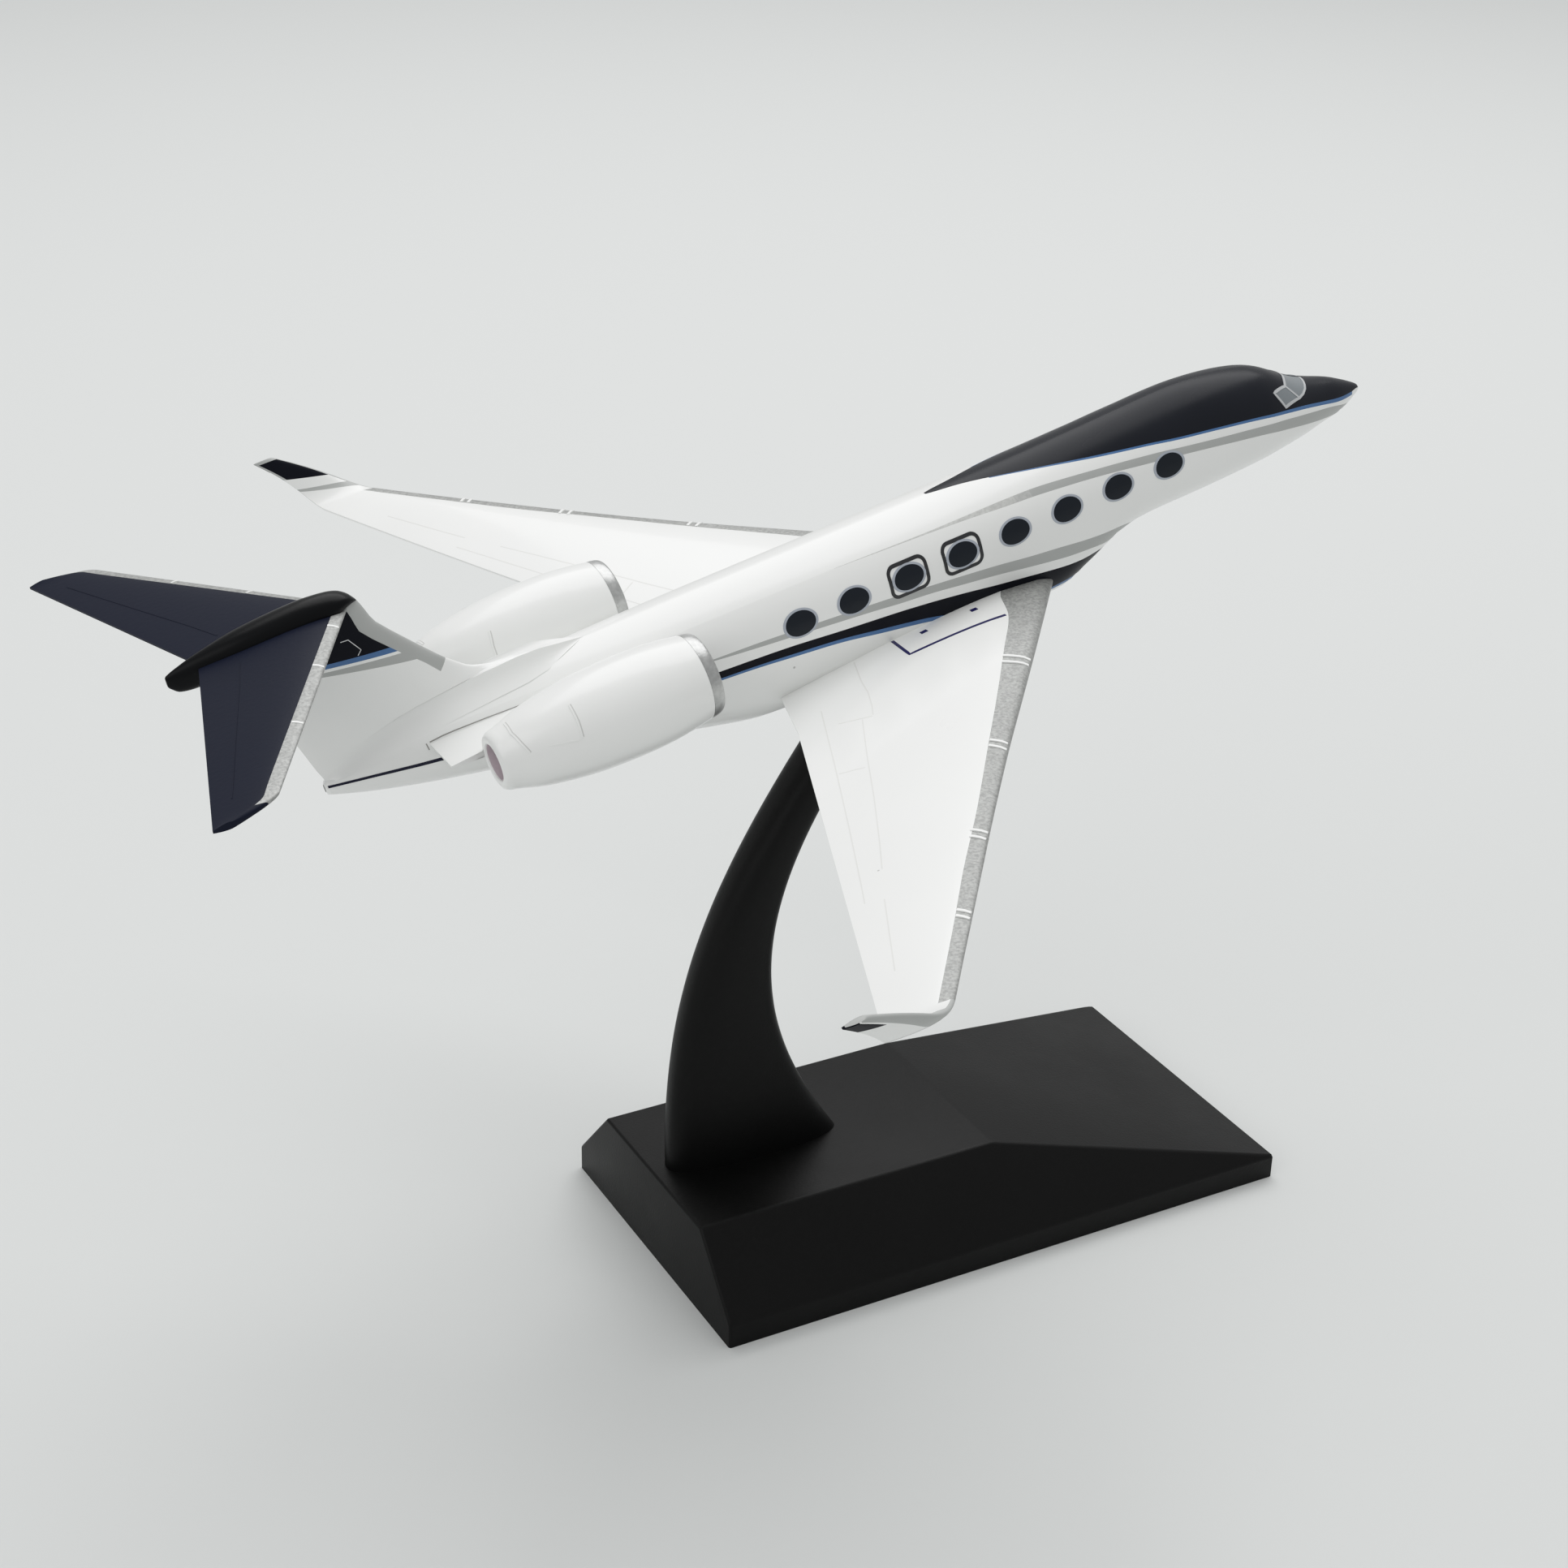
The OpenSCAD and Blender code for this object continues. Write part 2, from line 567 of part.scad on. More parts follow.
// Socket for the stand's tongue
sleeve_t = 1.1;
sleeve_l = tongue_l + 2 * slide_gap + 2 * sleeve_t;
sleeve_w = tongue_w + 2 * slide_gap + 2 * sleeve_t;
sleeve_h = tongue_h + slide_gap + sleeve_t;
module sleeve_block(room = 0) {
    translate([-socket_x - sleeve_l / 2 - room, -sleeve_w / 2 - room, socket_z - room])
        cube([sleeve_l + 2 * room, sleeve_w + 2 * room, sleeve_h + 2 * room]);
}

// Locating pins between the fuselage halves: station and height
pin_d = 1.6;
pin_l = 1.5;
pin_places = [[20, 0], [42, -0.6], [93, -0.6], [112, 1.2]];

module boss(p, d) {
    wall_y = flow(outline, p[0], 3) - shell_t / 2;
    translate([-p[0], 0, p[1]])
        rotate([-90, 0, 0])
            cylinder(d = d, h = wall_y, $fn = 24);
}

// Moulded half shell with its half of the fin, slots and locating bosses
module half_shell() {
    difference() {
        union() {
            difference() {
                union() {
                    half_form();
                    fin_half();
                }
                cavity();
            }
            for (p = pin_places)
                boss(p, pin_d + 1.6);
        }
        wing_pocket();
        pylon_slot();
        sleeve_block(glue_gap);
    }
}

module fuselage_left_half() {
    color(white)
        in_flight()
            union() {
                half_shell();
                for (p = pin_places)
                    translate([-p[0], -pin_l, p[1]])
                        rotate([-90, 0, 0])
                            cylinder(d = pin_d, h = pin_l + 1);
            }
}

module fuselage_right_half() {
    color(white)
        in_flight()
            difference() {
                mirror([0, 1, 0]) half_shell();
                for (p = pin_places)
                    translate([-p[0], 0.1, p[1]])
                        rotate([90, 0, 0])
                            cylinder(d = pin_d + glue_gap, h = pin_l + 0.4);
            }
}

module stand_socket() {
    color(black)
        in_flight()
            difference() {
                sleeve_block();
                translate([-socket_x - tongue_l / 2 - slide_gap, -tongue_w / 2 - slide_gap, socket_z - 1])
                    cube([tongue_l + 2 * slide_gap, tongue_w + 2 * slide_gap, tongue_h + slide_gap + 1]);
            }
}

module wing(side) {
    color(white)
        in_flight()
            on_side(side)
                wing_form();
}

module nacelle(side) {
    color(white)
        in_flight()
            on_side(side)
                pod_axis()
                    difference() {
                        cowl_form();
                        duct();
                    }
}

// Rounded ring from the cowl's front edge over into the duct
module intake_lip(side) {
    outer = cowl_front_d / 2;
    inner = duct_d / 2;
    color(silver)
        in_flight()
            on_side(side)
                pod_axis()
                    rotate_extrude()
                        polygon([
                            for (i = [0:12])
                                [mix(inner, outer, (1 + cos(15 * i)) / 2), lip_depth * (1 - sin(15 * i))]
                        ]);
}

// Fan disc with its spinner and slanted blades
module fan(side) {
    fan_r = duct_d / 2 - glue_gap;
    hub_r = 1.1;
    blade_t = 0.2;
    blade_h = 0.75;
    color(grey)
        in_flight()
            on_side(side)
                pod_axis() {
                    rotate_extrude()
                        polygon([
                            [0, fan_depth - 1.4],
                            [0.25, fan_depth - 1.4],
                            [hub_r, fan_depth],
                            [hub_r, fan_depth + fan_t / 2],
                            [fan_r, fan_depth + fan_t / 2],
                            [fan_r, fan_depth + fan_t],
                            [0, fan_depth + fan_t]
                        ]);
                    for (i = [0:fan_blades - 1])
                        rotate([0, 0, i * 360 / fan_blades])
                            translate([1.25 * hub_r, -blade_t / 2, fan_depth])
                                rotate([24, 0, 0])
                                    cube([fan_r - 1.25 * hub_r - glue_gap, blade_t, blade_h]);
                }
}

// Cup with a low cone that closes the exhaust
module exhaust_liner(side) {
    cup_r = nozzle_bore / 2 - 0.04;
    color("#7d7477")
        in_flight()
            on_side(side)
                pod_axis()
                    translate([0, 0, pod_l - nozzle_l])
                        union() {
                            difference() {
                                cylinder(r = cup_r, h = nozzle_l - 0.5);
                                translate([0, 0, 0.7])
                                    cylinder(r = cup_r - 0.3, h = nozzle_l);
                            }
                            translate([0, 0, 0.6])
                                cylinder(r1 = 1.3, r2 = 0.4, h = 1.5);
                        }
}

module pylon(side) {
    color(white)
        in_flight()
            on_side(side)
                pylon_form();
}

module tail_bullet() {
    color(black)
        in_flight()
            difference() {
                bullet_form();
                fin_slot();
                stab_pocket();
                mirror([0, 1, 0]) stab_pocket();
            }
}

module stabiliser(side) {
    color(navy)
        in_flight()
            on_side(side)
                stab_form();
}

// Arm: two curves from the foot on the deck to the head under the jet
heel_x = -base_l / 2 + heel_gap;
toe_x = heel_x + foot_l;
head_dir = [cos(climb), sin(climb)];
head_at = [head_x, head_z] - seat_gap * [-sin(climb), cos(climb)];
back_curve = [
    [heel_x, deck_z],
    [heel_x - 0.02 * foot_l, mix(deck_z, head_z, 0.42)],
    [heel_x + 0.29 * foot_l, mix(deck_z, head_z, 0.6)],
    head_at - head_dir * head_l / 2
];
front_curve = [
    [toe_x, deck_z],
    [toe_x - 0.6 * foot_l, mix(deck_z, head_z, 0.32)],
    [toe_x - 0.65 * foot_l, mix(deck_z, head_z, 0.59)],
    head_at + head_dir * head_l / 2
];
function bend(c, t) =
    pow(1 - t, 3) * c[0] + 3 * pow(1 - t, 2) * t * c[1] + 3 * (1 - t) * t * t * c[2] + pow(t, 3) * c[3];
arm_steps = 22;
arm_square = 2.6;
function arm_ring(t) =
    let (b = bend(back_curve, t), f = bend(front_curve, t), e = 2 / arm_square)
    [for (k = [0:19])
        let (a = -18 * k, u = sign(cos(a)) * pow(abs(cos(a)), e), v = sign(sin(a)) * pow(abs(sin(a)), e))
        let (c = (b + f) / 2 + (f - b) / 2 * u)
        [c[0], arm_t / 2 * v, c[1]]];
screw_places = [heel_x + 0.24 * foot_l, heel_x + 0.6 * foot_l];

module stand_arm() {
    color(black)
        difference() {
            union() {
                loft([for (i = [0:arm_steps]) arm_ring(i / arm_steps)]);
                in_flight()
                    translate([-socket_x - tongue_l / 2, -tongue_w / 2, socket_z - 1])
                        cube([tongue_l, tongue_w, tongue_h + 1]);
            }
            for (x = screw_places)
                translate([x, 0, deck_z - 1])
                    cylinder(d = screw_d, h = screw_l - base_t + 1.8);
        }
}

// Outer form of the base, drawn in by a wall on every side
module base_form(wall = 0) {
    hull() {
        translate([-base_l / 2 + wall, -base_w / 2 + wall, 0])
            cube([base_l - 2 * wall, base_w - 2 * wall, base_wall_h - wall / 2]);
        translate([-base_l / 2 + wall, -base_w / 2 + deck_inset + wall * 0.7, 0])
            cube([deck_l - wall, base_w - 2 * deck_inset - wall * 1.4, deck_z - wall]);
    }
}

rib_t = 1.2;
rib_places = [-0.08 * base_l, 0.18 * base_l];
rebate = 1;
module stand_base() {
    color(black)
        difference() {
            base_form();
            difference() {
                base_form(base_t);
                for (x = rib_places)
                    translate([x, -base_w / 2, pad_t])
                        cube([rib_t, base_w, deck_z]);
                translate([-base_l / 2, -rib_t / 2, deck_z - base_t - 3])
                    cube([heel_gap + 3, rib_t, 3]);
            }
            translate([-base_l / 2 + rebate, -base_w / 2 + rebate, -1])
                cube([base_l - 2 * rebate, base_w - 2 * rebate, pad_t + 1]);
            for (x = screw_places)
                translate([x, 0, 0])
                    cylinder(d = screw_d + 2 * screw_gap, h = deck_z + 1);
        }
}

// Pan-head screws, driven up through the deck into the arm
module arm_screws() {
    color(silver)
        for (x = screw_places)
            translate([x, 0, deck_z - base_t]) {
                cylinder(d = screw_d, h = screw_l);
                difference() {
                    translate([0, 0, -1.4])
                        cylinder(d = 2 * screw_d, h = 1.4);
                    translate([-screw_d, -0.25, -1.5])
                        cube([2 * screw_d, 0.5, 0.6]);
                }
            }
}

module base_pad() {
    inset = rebate + glue_gap;
    color("#202020")
        translate([-base_l / 2 + inset, -base_w / 2 + inset, 0])
            cube([base_l - 2 * inset, base_w - 2 * inset, pad_t]);
}

fuselage_left_half();
fuselage_right_half();
stand_socket();
wing(1);  // wing_left
wing(-1);  // wing_right
nacelle(1);  // nacelle_left
nacelle(-1);  // nacelle_right
intake_lip(1);  // intake_lip_left
intake_lip(-1);  // intake_lip_right
fan(1);  // fan_left
fan(-1);  // fan_right
exhaust_liner(1);  // exhaust_liner_left
exhaust_liner(-1);  // exhaust_liner_right
pylon(1);  // pylon_left
pylon(-1);  // pylon_right
tail_bullet();
stabiliser(1);  // stabiliser_left
stabiliser(-1);  // stabiliser_right
stand_arm();
stand_base();
arm_screws();
base_pad();
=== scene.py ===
from math import acos, asin, atan, atan2, cos, degrees, hypot, pi, radians, sin, sqrt, tan

import bmesh
import bpy
from mathutils import Matrix, Vector


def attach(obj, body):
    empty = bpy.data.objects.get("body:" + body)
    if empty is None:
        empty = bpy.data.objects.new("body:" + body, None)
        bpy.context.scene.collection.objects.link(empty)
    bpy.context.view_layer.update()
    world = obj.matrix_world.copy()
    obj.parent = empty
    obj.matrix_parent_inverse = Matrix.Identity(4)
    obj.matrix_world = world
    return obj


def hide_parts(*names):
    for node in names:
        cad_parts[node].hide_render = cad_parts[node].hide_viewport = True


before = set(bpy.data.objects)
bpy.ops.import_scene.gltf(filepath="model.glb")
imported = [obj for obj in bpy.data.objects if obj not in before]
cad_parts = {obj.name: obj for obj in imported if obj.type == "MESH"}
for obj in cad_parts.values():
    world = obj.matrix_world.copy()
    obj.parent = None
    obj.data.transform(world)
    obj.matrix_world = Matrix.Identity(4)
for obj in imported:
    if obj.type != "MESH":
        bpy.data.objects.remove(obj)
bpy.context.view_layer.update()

# Camera. A hand-held view from behind and above the jet's right side, fitted
# to the corners of the base and to the symmetry of the wings.
eye = Vector((-0.1575, -0.2444, 0.1985))
right = Vector((0.8800, -0.4745, 0.0221))
above = Vector((0.1935, 0.4005, 0.8956))
lens = bpy.data.cameras.new("camera")
lens.sensor_width = 36
lens.lens = 62.64
lens.clip_start = 0.01
camera = bpy.data.objects.new("camera", lens)
turn = Matrix((right, above, right.cross(above))).transposed()
camera.matrix_world = Matrix.Translation(eye) @ turn.to_4x4()
bpy.context.scene.collection.objects.link(camera)
bpy.context.scene.camera = camera

# The tones bend down above BEND, so that white paint in full light keeps its shading
BEND, WHITE_TONE = (0.72, 0.71), 0.885
view = bpy.context.scene.view_settings
view.view_transform = "Standard"
view.use_curve_mapping = True
tones = view.curve_mapping.curves[3]
tones.points.new(*BEND)
tones.points[2].location = (1, WHITE_TONE)
view.curve_mapping.update()

# Floor and light. A sheet of pale card under a large soft lamp above, with a
# weaker one from the camera's side and an even light from all round.


def colour(text):
    """Linear colour of an sRGB hex code."""
    parts = [int(text[i:i + 2], 16) / 255 for i in (0, 2, 4)]
    return [c / 12.92 if c <= 0.04045 else ((c + 0.055) / 1.055) ** 2.4 for c in parts] + [1]


def add(tree, kind, links, **settings):
    """Adds a shader node: settings by name or by socket, and links into its sockets."""
    made = tree.nodes.new("ShaderNode" + kind)
    for name, value in settings.items():
        if hasattr(made, name):
            setattr(made, name, value)
        else:
            made.inputs[name.replace("_", " ")].default_value = value
    for name, source in links.items():
        tree.links.new(source, made.inputs[name])
    return made


# Uncoated card: rough and dull, so the shadows on it stay soft and clean
card = bpy.data.materials.new("matt_white_card")
card.use_nodes = True
surface = card.node_tree.nodes["Principled BSDF"]
surface.inputs["Base Color"].default_value = colour("d3d5d4")
surface.inputs["Roughness"].default_value = 0.9
surface.inputs["Specular IOR Level"].default_value = 0.2
sheet = bmesh.new()
bmesh.ops.create_grid(sheet, x_segments=2, y_segments=2, size=3)
floor_mesh = bpy.data.meshes.new("floor")
sheet.to_mesh(floor_mesh)
sheet.free()
floor_mesh.materials.append(card)
floor = bpy.data.objects.new("floor", floor_mesh)
bpy.context.scene.collection.objects.link(floor)

world = bpy.data.worlds.new("studio")
bpy.context.scene.world = world
world.use_nodes = True
sky = world.node_tree.nodes["Background"]
sky.inputs["Color"].default_value = colour("f1f2f2")
sky.inputs["Strength"].default_value = 0.55
for name, place, aim, size, watts in (
    ("soft_box_above", (0.25, 0.35, 0.9), (0, 0, 0.05), 0.9, 7),
    ("soft_box_behind_camera", (-0.75, -0.35, 0.7), (0, 0, 0.08), 0.8, 2.4),
):
    lamp = bpy.data.lights.new(name, "AREA")
    lamp.size = size
    lamp.energy = watts
    holder = bpy.data.objects.new(name, lamp)
    holder.location = place
    holder.rotation_euler = (Vector(aim) - Vector(place)).to_track_quat("-Z", "Y").to_euler()
    bpy.context.scene.collection.objects.link(holder)

# Fuselage halves. Two moulded ABS shells, each with its half of the fin and
# of the belly fairing, cemented along the middle and spray-painted white. The
# dark crown, the cheatlines and the fin's colours are printed bands.

# Sizes are in millimetres. Stations count back from the nose, heights up from
# the cabin's axis and y to the left of the middle.
FUSELAGE_L, CABIN_R, HALF_W = 134.4, 6.425, 6.55
NOSE_L, NOSE_DROP, ROOF = 26, 2.65, 7.125
TAIL_L, TAIL_END_Z, BELLY_DEPTH = 36, 1.5, 10.4
WING_X, WING_AFT, BELLY_START = 49.3, 84.7, 34.3
CONE = FUSELAGE_L - TAIL_L


def mix(a, b, u):
    """Value a share u of the way from a to b."""
    return a + (b - a) * u


def flow(table, x, k=1):
    """Smooth value of column k at x, through rows whose first column rises."""
    i = 0
    while i < len(table) - 2 and x >= table[i + 1][0]:
        i += 1

    def slope(n):
        a, b = max(n - 1, 0), min(n + 1, len(table) - 1)
        return (table[b][k] - table[a][k]) / (table[b][0] - table[a][0])

    h = table[i + 1][0] - table[i][0]
    u = (x - table[i][0]) / h
    a, b, m, n = table[i][k], table[i + 1][k], slope(i) * h, slope(i + 1) * h
    return a + u * (m + u * (3 * (b - a) - 2 * m - n + u * (2 * (a - b) + m + n)))


# Station behind the nose, roof, keel, half width, waist height, squareness below
outline = [
    [0, -NOSE_DROP + 0.06, -NOSE_DROP - 0.5, 0.34, -NOSE_DROP - 0.2, 2],
    [0.25, -NOSE_DROP + 0.32, -NOSE_DROP - 0.76, 0.56, -NOSE_DROP - 0.1, 2],
    *([NOSE_L * share, mix(-NOSE_DROP, ROOF, rise), -NOSE_DROP - deep, half, -NOSE_DROP + waist, 2]
      for share, rise, deep, half, waist in (
          (0.03, 0.07, 1.0, 0.9, 0.1), (0.08, 0.15, 1.5, 1.6, 0.2), (0.16, 0.26, 2.05, 2.5, 0.4),
          (0.27, 0.37, 2.35, 3.4, 0.8), (0.38, 0.5, 2.8, 4.2, 1.15), (0.46, 0.64, 2.95, 4.75, 1.4),
          (0.54, 0.77, 3.1, 5.25, 1.65))),
    [NOSE_L * 0.63, mix(-NOSE_DROP, ROOF, 0.865), 0.55 - CABIN_R, HALF_W - 0.75, -0.75, 2],
    [NOSE_L * 0.8, mix(-NOSE_DROP, ROOF, 0.955), 0.35 - CABIN_R, HALF_W - 0.3, -0.35, 2],
    [NOSE_L, ROOF, 0.2 - CABIN_R, HALF_W - 0.1, -0.1, 2],
    [BELLY_START, mix(CABIN_R, ROOF, 0.7), -CABIN_R, HALF_W, 0, 2],
    [BELLY_START + 3.6, mix(CABIN_R, ROOF, 0.5), -CABIN_R - 0.6, HALF_W, 0, 2.2],
    [BELLY_START + 8, mix(CABIN_R, ROOF, 0.3), mix(-CABIN_R, -BELLY_DEPTH, 0.66), HALF_W + 0.05, 0, 2.45],
    [WING_X - 2.5, mix(CABIN_R, ROOF, 0.13), mix(-CABIN_R, -BELLY_DEPTH, 1.02), HALF_W + 0.15, 0, 2.85],
    [WING_X + 6, CABIN_R, -BELLY_DEPTH, HALF_W + 0.2, 0, 2.7],
    [WING_AFT - 8, CABIN_R, -BELLY_DEPTH - 0.3, HALF_W + 0.2, 0, 2.8],
    [WING_AFT + 1, CABIN_R, -BELLY_DEPTH - 0.1, HALF_W + 0.1, 0, 2.8],
    [WING_AFT + 7, CABIN_R, -BELLY_DEPTH + 1.1, HALF_W, 0, 2.6],
    [CONE, CABIN_R - 0.05, -CABIN_R - 1.2, HALF_W - 0.25, 0, 2.3],
    [CONE + TAIL_L * 0.27, CABIN_R - 0.2, -CABIN_R + 1.1, HALF_W - 0.95, 0.15, 2.1],
    [CONE + TAIL_L * 0.5, CABIN_R - 0.6, -CABIN_R + 2.6, HALF_W - 1.95, 0.6, 2],
    [CONE + TAIL_L * 0.72, mix(CABIN_R, TAIL_END_Z, 0.3), -CABIN_R + 4.3, HALF_W - 3.2, 1.1, 2],
    [CONE + TAIL_L * 0.88, mix(CABIN_R, TAIL_END_Z, 0.62), TAIL_END_Z - 2.2, 1.9, TAIL_END_Z - 0.2, 2],
    [FUSELAGE_L, TAIL_END_Z + 0.7, TAIL_END_Z - 0.8, 0.7, TAIL_END_Z, 2],
]


def power(x, e):
    """Power that keeps the sign, which squares up a circle's sine and cosine."""
    return abs(x) ** e * (1 if x > 0 else -1)


def skin(s, a, out=0):
    """Point of the left skin at station s and angle a, from the keel at -90 to the roof at 90."""
    top, low, half, waist, square = (flow(outline, s, k) for k in range(1, 6))
    reach = waist - low if a < 0 else top - waist
    e = 2 / square if a < 0 else 1
    c, v = cos(radians(a)), sin(radians(a))
    return Vector((-s, (half + out) * power(c, e), waist + (reach + out) * power(v, e)))


def angle(s, z):
    """Angle at which the skin reaches height z at station s."""
    top, low, waist, square = (flow(outline, s, k) for k in (1, 2, 4, 5))
    share = (z - waist) / (top - waist if z > waist else waist - low)
    share = max(-0.9995, min(0.9995, share))
    return degrees(asin(power(share, 1 if z > waist else square / 2)))


# Edges of the printed bands on the side: station and height above the axis
crown_edge = [
    (1.6, -2.42), (4.65, -1.77), (8, -0.8), (11.9, 0.32), (18.55, 1.88), (24.36, 2.86), (29.81, 3.6),
    (33.6, 4.16), (39.15, 4.82), (45.1, 5.52), (50.7, 6.05), (55.3, 6.33), (60.3, 6.42)]
pin_edge = [
    (1.6, -2.86), (4.7, -2.22), (8, -1.2), (12, -0.05), (18.6, 1.58), (24.4, 2.6), (29.9, 3.37),
    (33.6, 3.94), (39.15, 4.63), (45.1, 5.41), (50.7, 6.0), (55.3, 6.31), (60.3, 6.42)]
upper_grey_top = [
    (2.4, -3.65), (3.32, -3.27), (6.34, -2.18), (9.35, -1.38), (12.24, -0.65), (15.04, 0.04),
    (17.68, 0.58), (20.9, 1.17), (29.2, 2.43), (33.5, 3.05), (40.8, 3.8), (48.1, 4.4), (52.75, 4.5),
    (57.6, 4.5), (63.1, 4.5), (69.1, 4.6), (74.9, 4.7)]
upper_grey_low = [
    (3.6, -4.3), (5.6, -3.85), (7.6, -3.3), (10.05, -2.6), (13.8, -1.53), (17.88, -0.45),
    (23.82, 0.69), (29.46, 1.6), (33.9, 2.2), (41.2, 3.09), (48.5, 3.7), (51.85, 3.85), (53.96, 3.95),
    (57.6, 4.15), (63.1, 4.35), (69.1, 4.52), (74.9, 4.68)]
lower_grey_top = [
    (35.6, -5.7), (36.9, -4.8), (38.73, -4.28), (41.33, -3.98), (43.7, -3.65), (47.11, -3.11),
    (51.47, -2.56), (55.76, -1.92), (60, -1.4), (64.22, -0.92), (68.37, -0.45), (72.1, -0.1),
    (79, 0.46), (85.5, 0.92), (93, 1.25)]
lower_grey_low = [
    (37.9, -6.8), (39.31, -6.07), (41.06, -5.65), (43.71, -5.12), (47.2, -4.62), (51.62, -3.89),
    (55.92, -3.12), (60.16, -2.49), (64.35, -1.87), (68.52, -1.45), (71.9, -1.02), (79.4, -0.22),
    (85.7, 0.39), (93, 1.15)]
navy_top = [
    (38.6, -7.3), (40.2, -6.62), (42.11, -6.34), (43.52, -6.27), (45.48, -6.05), (47.24, -5.82),
    (51.67, -5.11), (56.01, -4.41), (60.3, -3.62), (64.51, -2.96), (68.68, -2.43), (72, -2.1),
    (76.2, -1.68), (81.9, -1.07), (86.9, -0.71), (93, -0.36)]
navy_low = [
    (43.6, -8.5), (45, -8.35), (46.84, -8.26), (48.15, -8.38), (50.5, -8.35), (54, -7.8), (58, -6.9),
    (62, -5.75), (64.68, -4.95), (66.8, -4.46), (70.98, -3.66), (76.4, -2.68), (82.1, -2.05),
    (87.1, -1.58), (93, -1.2)]
blue_low = [
    (43.2, -9.1), (45, -8.9), (46.84, -8.75), (48.15, -8.83), (50.5, -8.8), (54, -8.25), (58, -7.4),
    (62, -6.25), (64.68, -5.5), (66.84, -5), (71.02, -4.18), (76.4, -3.12), (82.2, -2.42),
    (87.1, -1.88), (93, -1.45)]
bands = [
    blue_low, navy_low, navy_top, lower_grey_low, lower_grey_top, upper_grey_low, upper_grey_top,
    pin_edge, crown_edge]


def band_angles(s):
    """Angles of the bands' edges at a station. Past its ends a band keeps its last angle."""
    found = []
    for band in bands:
        at = min(max(s, band[0][0]), band[-1][0])
        found.append(angle(at, flow(band, at)))
    return found


WHITE, BLACK, GREY, BLUE, NAVY, GREY_THIN, GREY_LIGHT, GREY_MID = range(8)


def painted(band, s):
    """Finish of the skin above a band's lower edge, counted from the blue line up, at a station."""
    if band == 7 and 1.6 < s < 53:
        return BLUE
    if band >= 8 and 0.1 < s < 60.4:
        return BLACK
    if band == 5 and 49 < s < 75:
        return GREY_THIN if s > 55 else GREY_LIGHT if s > 52 else GREY_MID
    if band == 5 and 2.6 < s < 75 or band == 3 and 35.6 < s < 93:
        return GREY
    if band == 1 and 38.7 < s < 93:
        return NAVY
    if band == 0 and 43.6 < s < 93:
        return BLUE
    return WHITE


# Rows of the skin between two band edges, so that every edge is a row of its own
row_counts = [5, 1, 3, 2, 2, 7, 2, 2, 1, 7]
row_band = [-1] + [n - 1 for n, count in enumerate(row_counts) for i in range(count)] + [8]
SEAM_ANGLE, LEAST_GAP = 89.3, 0.03


def row_angles(s):
    """Angles of all the rows at a station, from the seam below to the seam above."""
    edges = [-SEAM_ANGLE] + band_angles(s) + [SEAM_ANGLE]
    for i in range(1, len(edges)):
        edges[i] = max(edges[i], edges[i - 1] + LEAST_GAP)
    rows = [-90]
    for n, count in enumerate(row_counts):
        rows += [mix(edges[n], edges[n + 1], i / count) for i in range(count)]
    return rows + [SEAM_ANGLE, 90]


def loft(rings, closed=False, paint=None):
    """A grid laid over equally long rows of points, welded where it closes or meets."""
    bm = bmesh.new()
    count = len(rings[0])
    across = count if closed else count - 1
    along = len(rings) - 1
    bmesh.ops.create_grid(bm, x_segments=across, y_segments=along, size=0.5)
    for f in bm.faces:
        c = f.calc_center_median()
        if paint:
            f.material_index = paint(int((c.x + 0.5) * across), int((c.y + 0.5) * along))
    for v in bm.verts:
        v.co = rings[round((v.co.y + 0.5) * along)][round((v.co.x + 0.5) * across) % count]
    bmesh.ops.remove_doubles(bm, verts=bm.verts, dist=2e-5)
    bmesh.ops.dissolve_degenerate(bm, edges=bm.edges, dist=1e-5)
    return bm


def close_up(bm):
    """Fills the open edges of a shape and turns its faces outwards."""
    bmesh.ops.holes_fill(bm, edges=[e for e in bm.edges if e.is_boundary], sides=0)
    bmesh.ops.recalc_face_normals(bm, faces=bm.faces)
    return bm


def merged(shapes):
    """Several shapes as one bmesh."""
    whole = bmesh.new()
    for bm in shapes:
        part = bpy.data.meshes.new("part")
        bm.to_mesh(part)
        whole.from_mesh(part)
        bpy.data.meshes.remove(part)
        bm.free()
    return whole


# The arm's head, the climb of the jet on it, and the point of the jet that sits there
HEAD, CLIMB, SEAT_X, SEAT_Z = Vector((-8.3, 0, 74.4)), 12.8, 67, 10.6
millimetres = Matrix.Scale(0.001, 4)
flight = (
    millimetres @ Matrix.Translation(HEAD) @ Matrix.Rotation(radians(-CLIMB), 4, "Y")
    @ Matrix.Translation((SEAT_X, 0, SEAT_Z)))


def piece(name, bm, finishes, nodes=(), body="jet", place=flight, crease=38):
    """Makes a finished object of a bmesh in millimetres and lets it ride on its body."""
    bmesh.ops.transform(bm, matrix=place, verts=bm.verts)
    for f in bm.faces:
        f.smooth = True
    for e in bm.edges:
        e.smooth = len(e.link_faces) < 2 or e.calc_face_angle(0) < radians(crease)
    mesh = bpy.data.meshes.new(name)
    bm.to_mesh(mesh)
    bm.free()
    for finish in finishes:
        mesh.materials.append(finish)
    made = bpy.data.objects.new(name, mesh)
    bpy.context.scene.collection.objects.link(made)
    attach(made, body)
    if nodes:
        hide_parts(*nodes)
    return made


def mirrored(bm):
    """Copy of a left-hand shape for the right-hand side."""
    other = bm.copy()
    bmesh.ops.scale(other, vec=(1, -1, 1), verts=other.verts)
    bmesh.ops.reverse_faces(other, faces=other.faces)
    return other


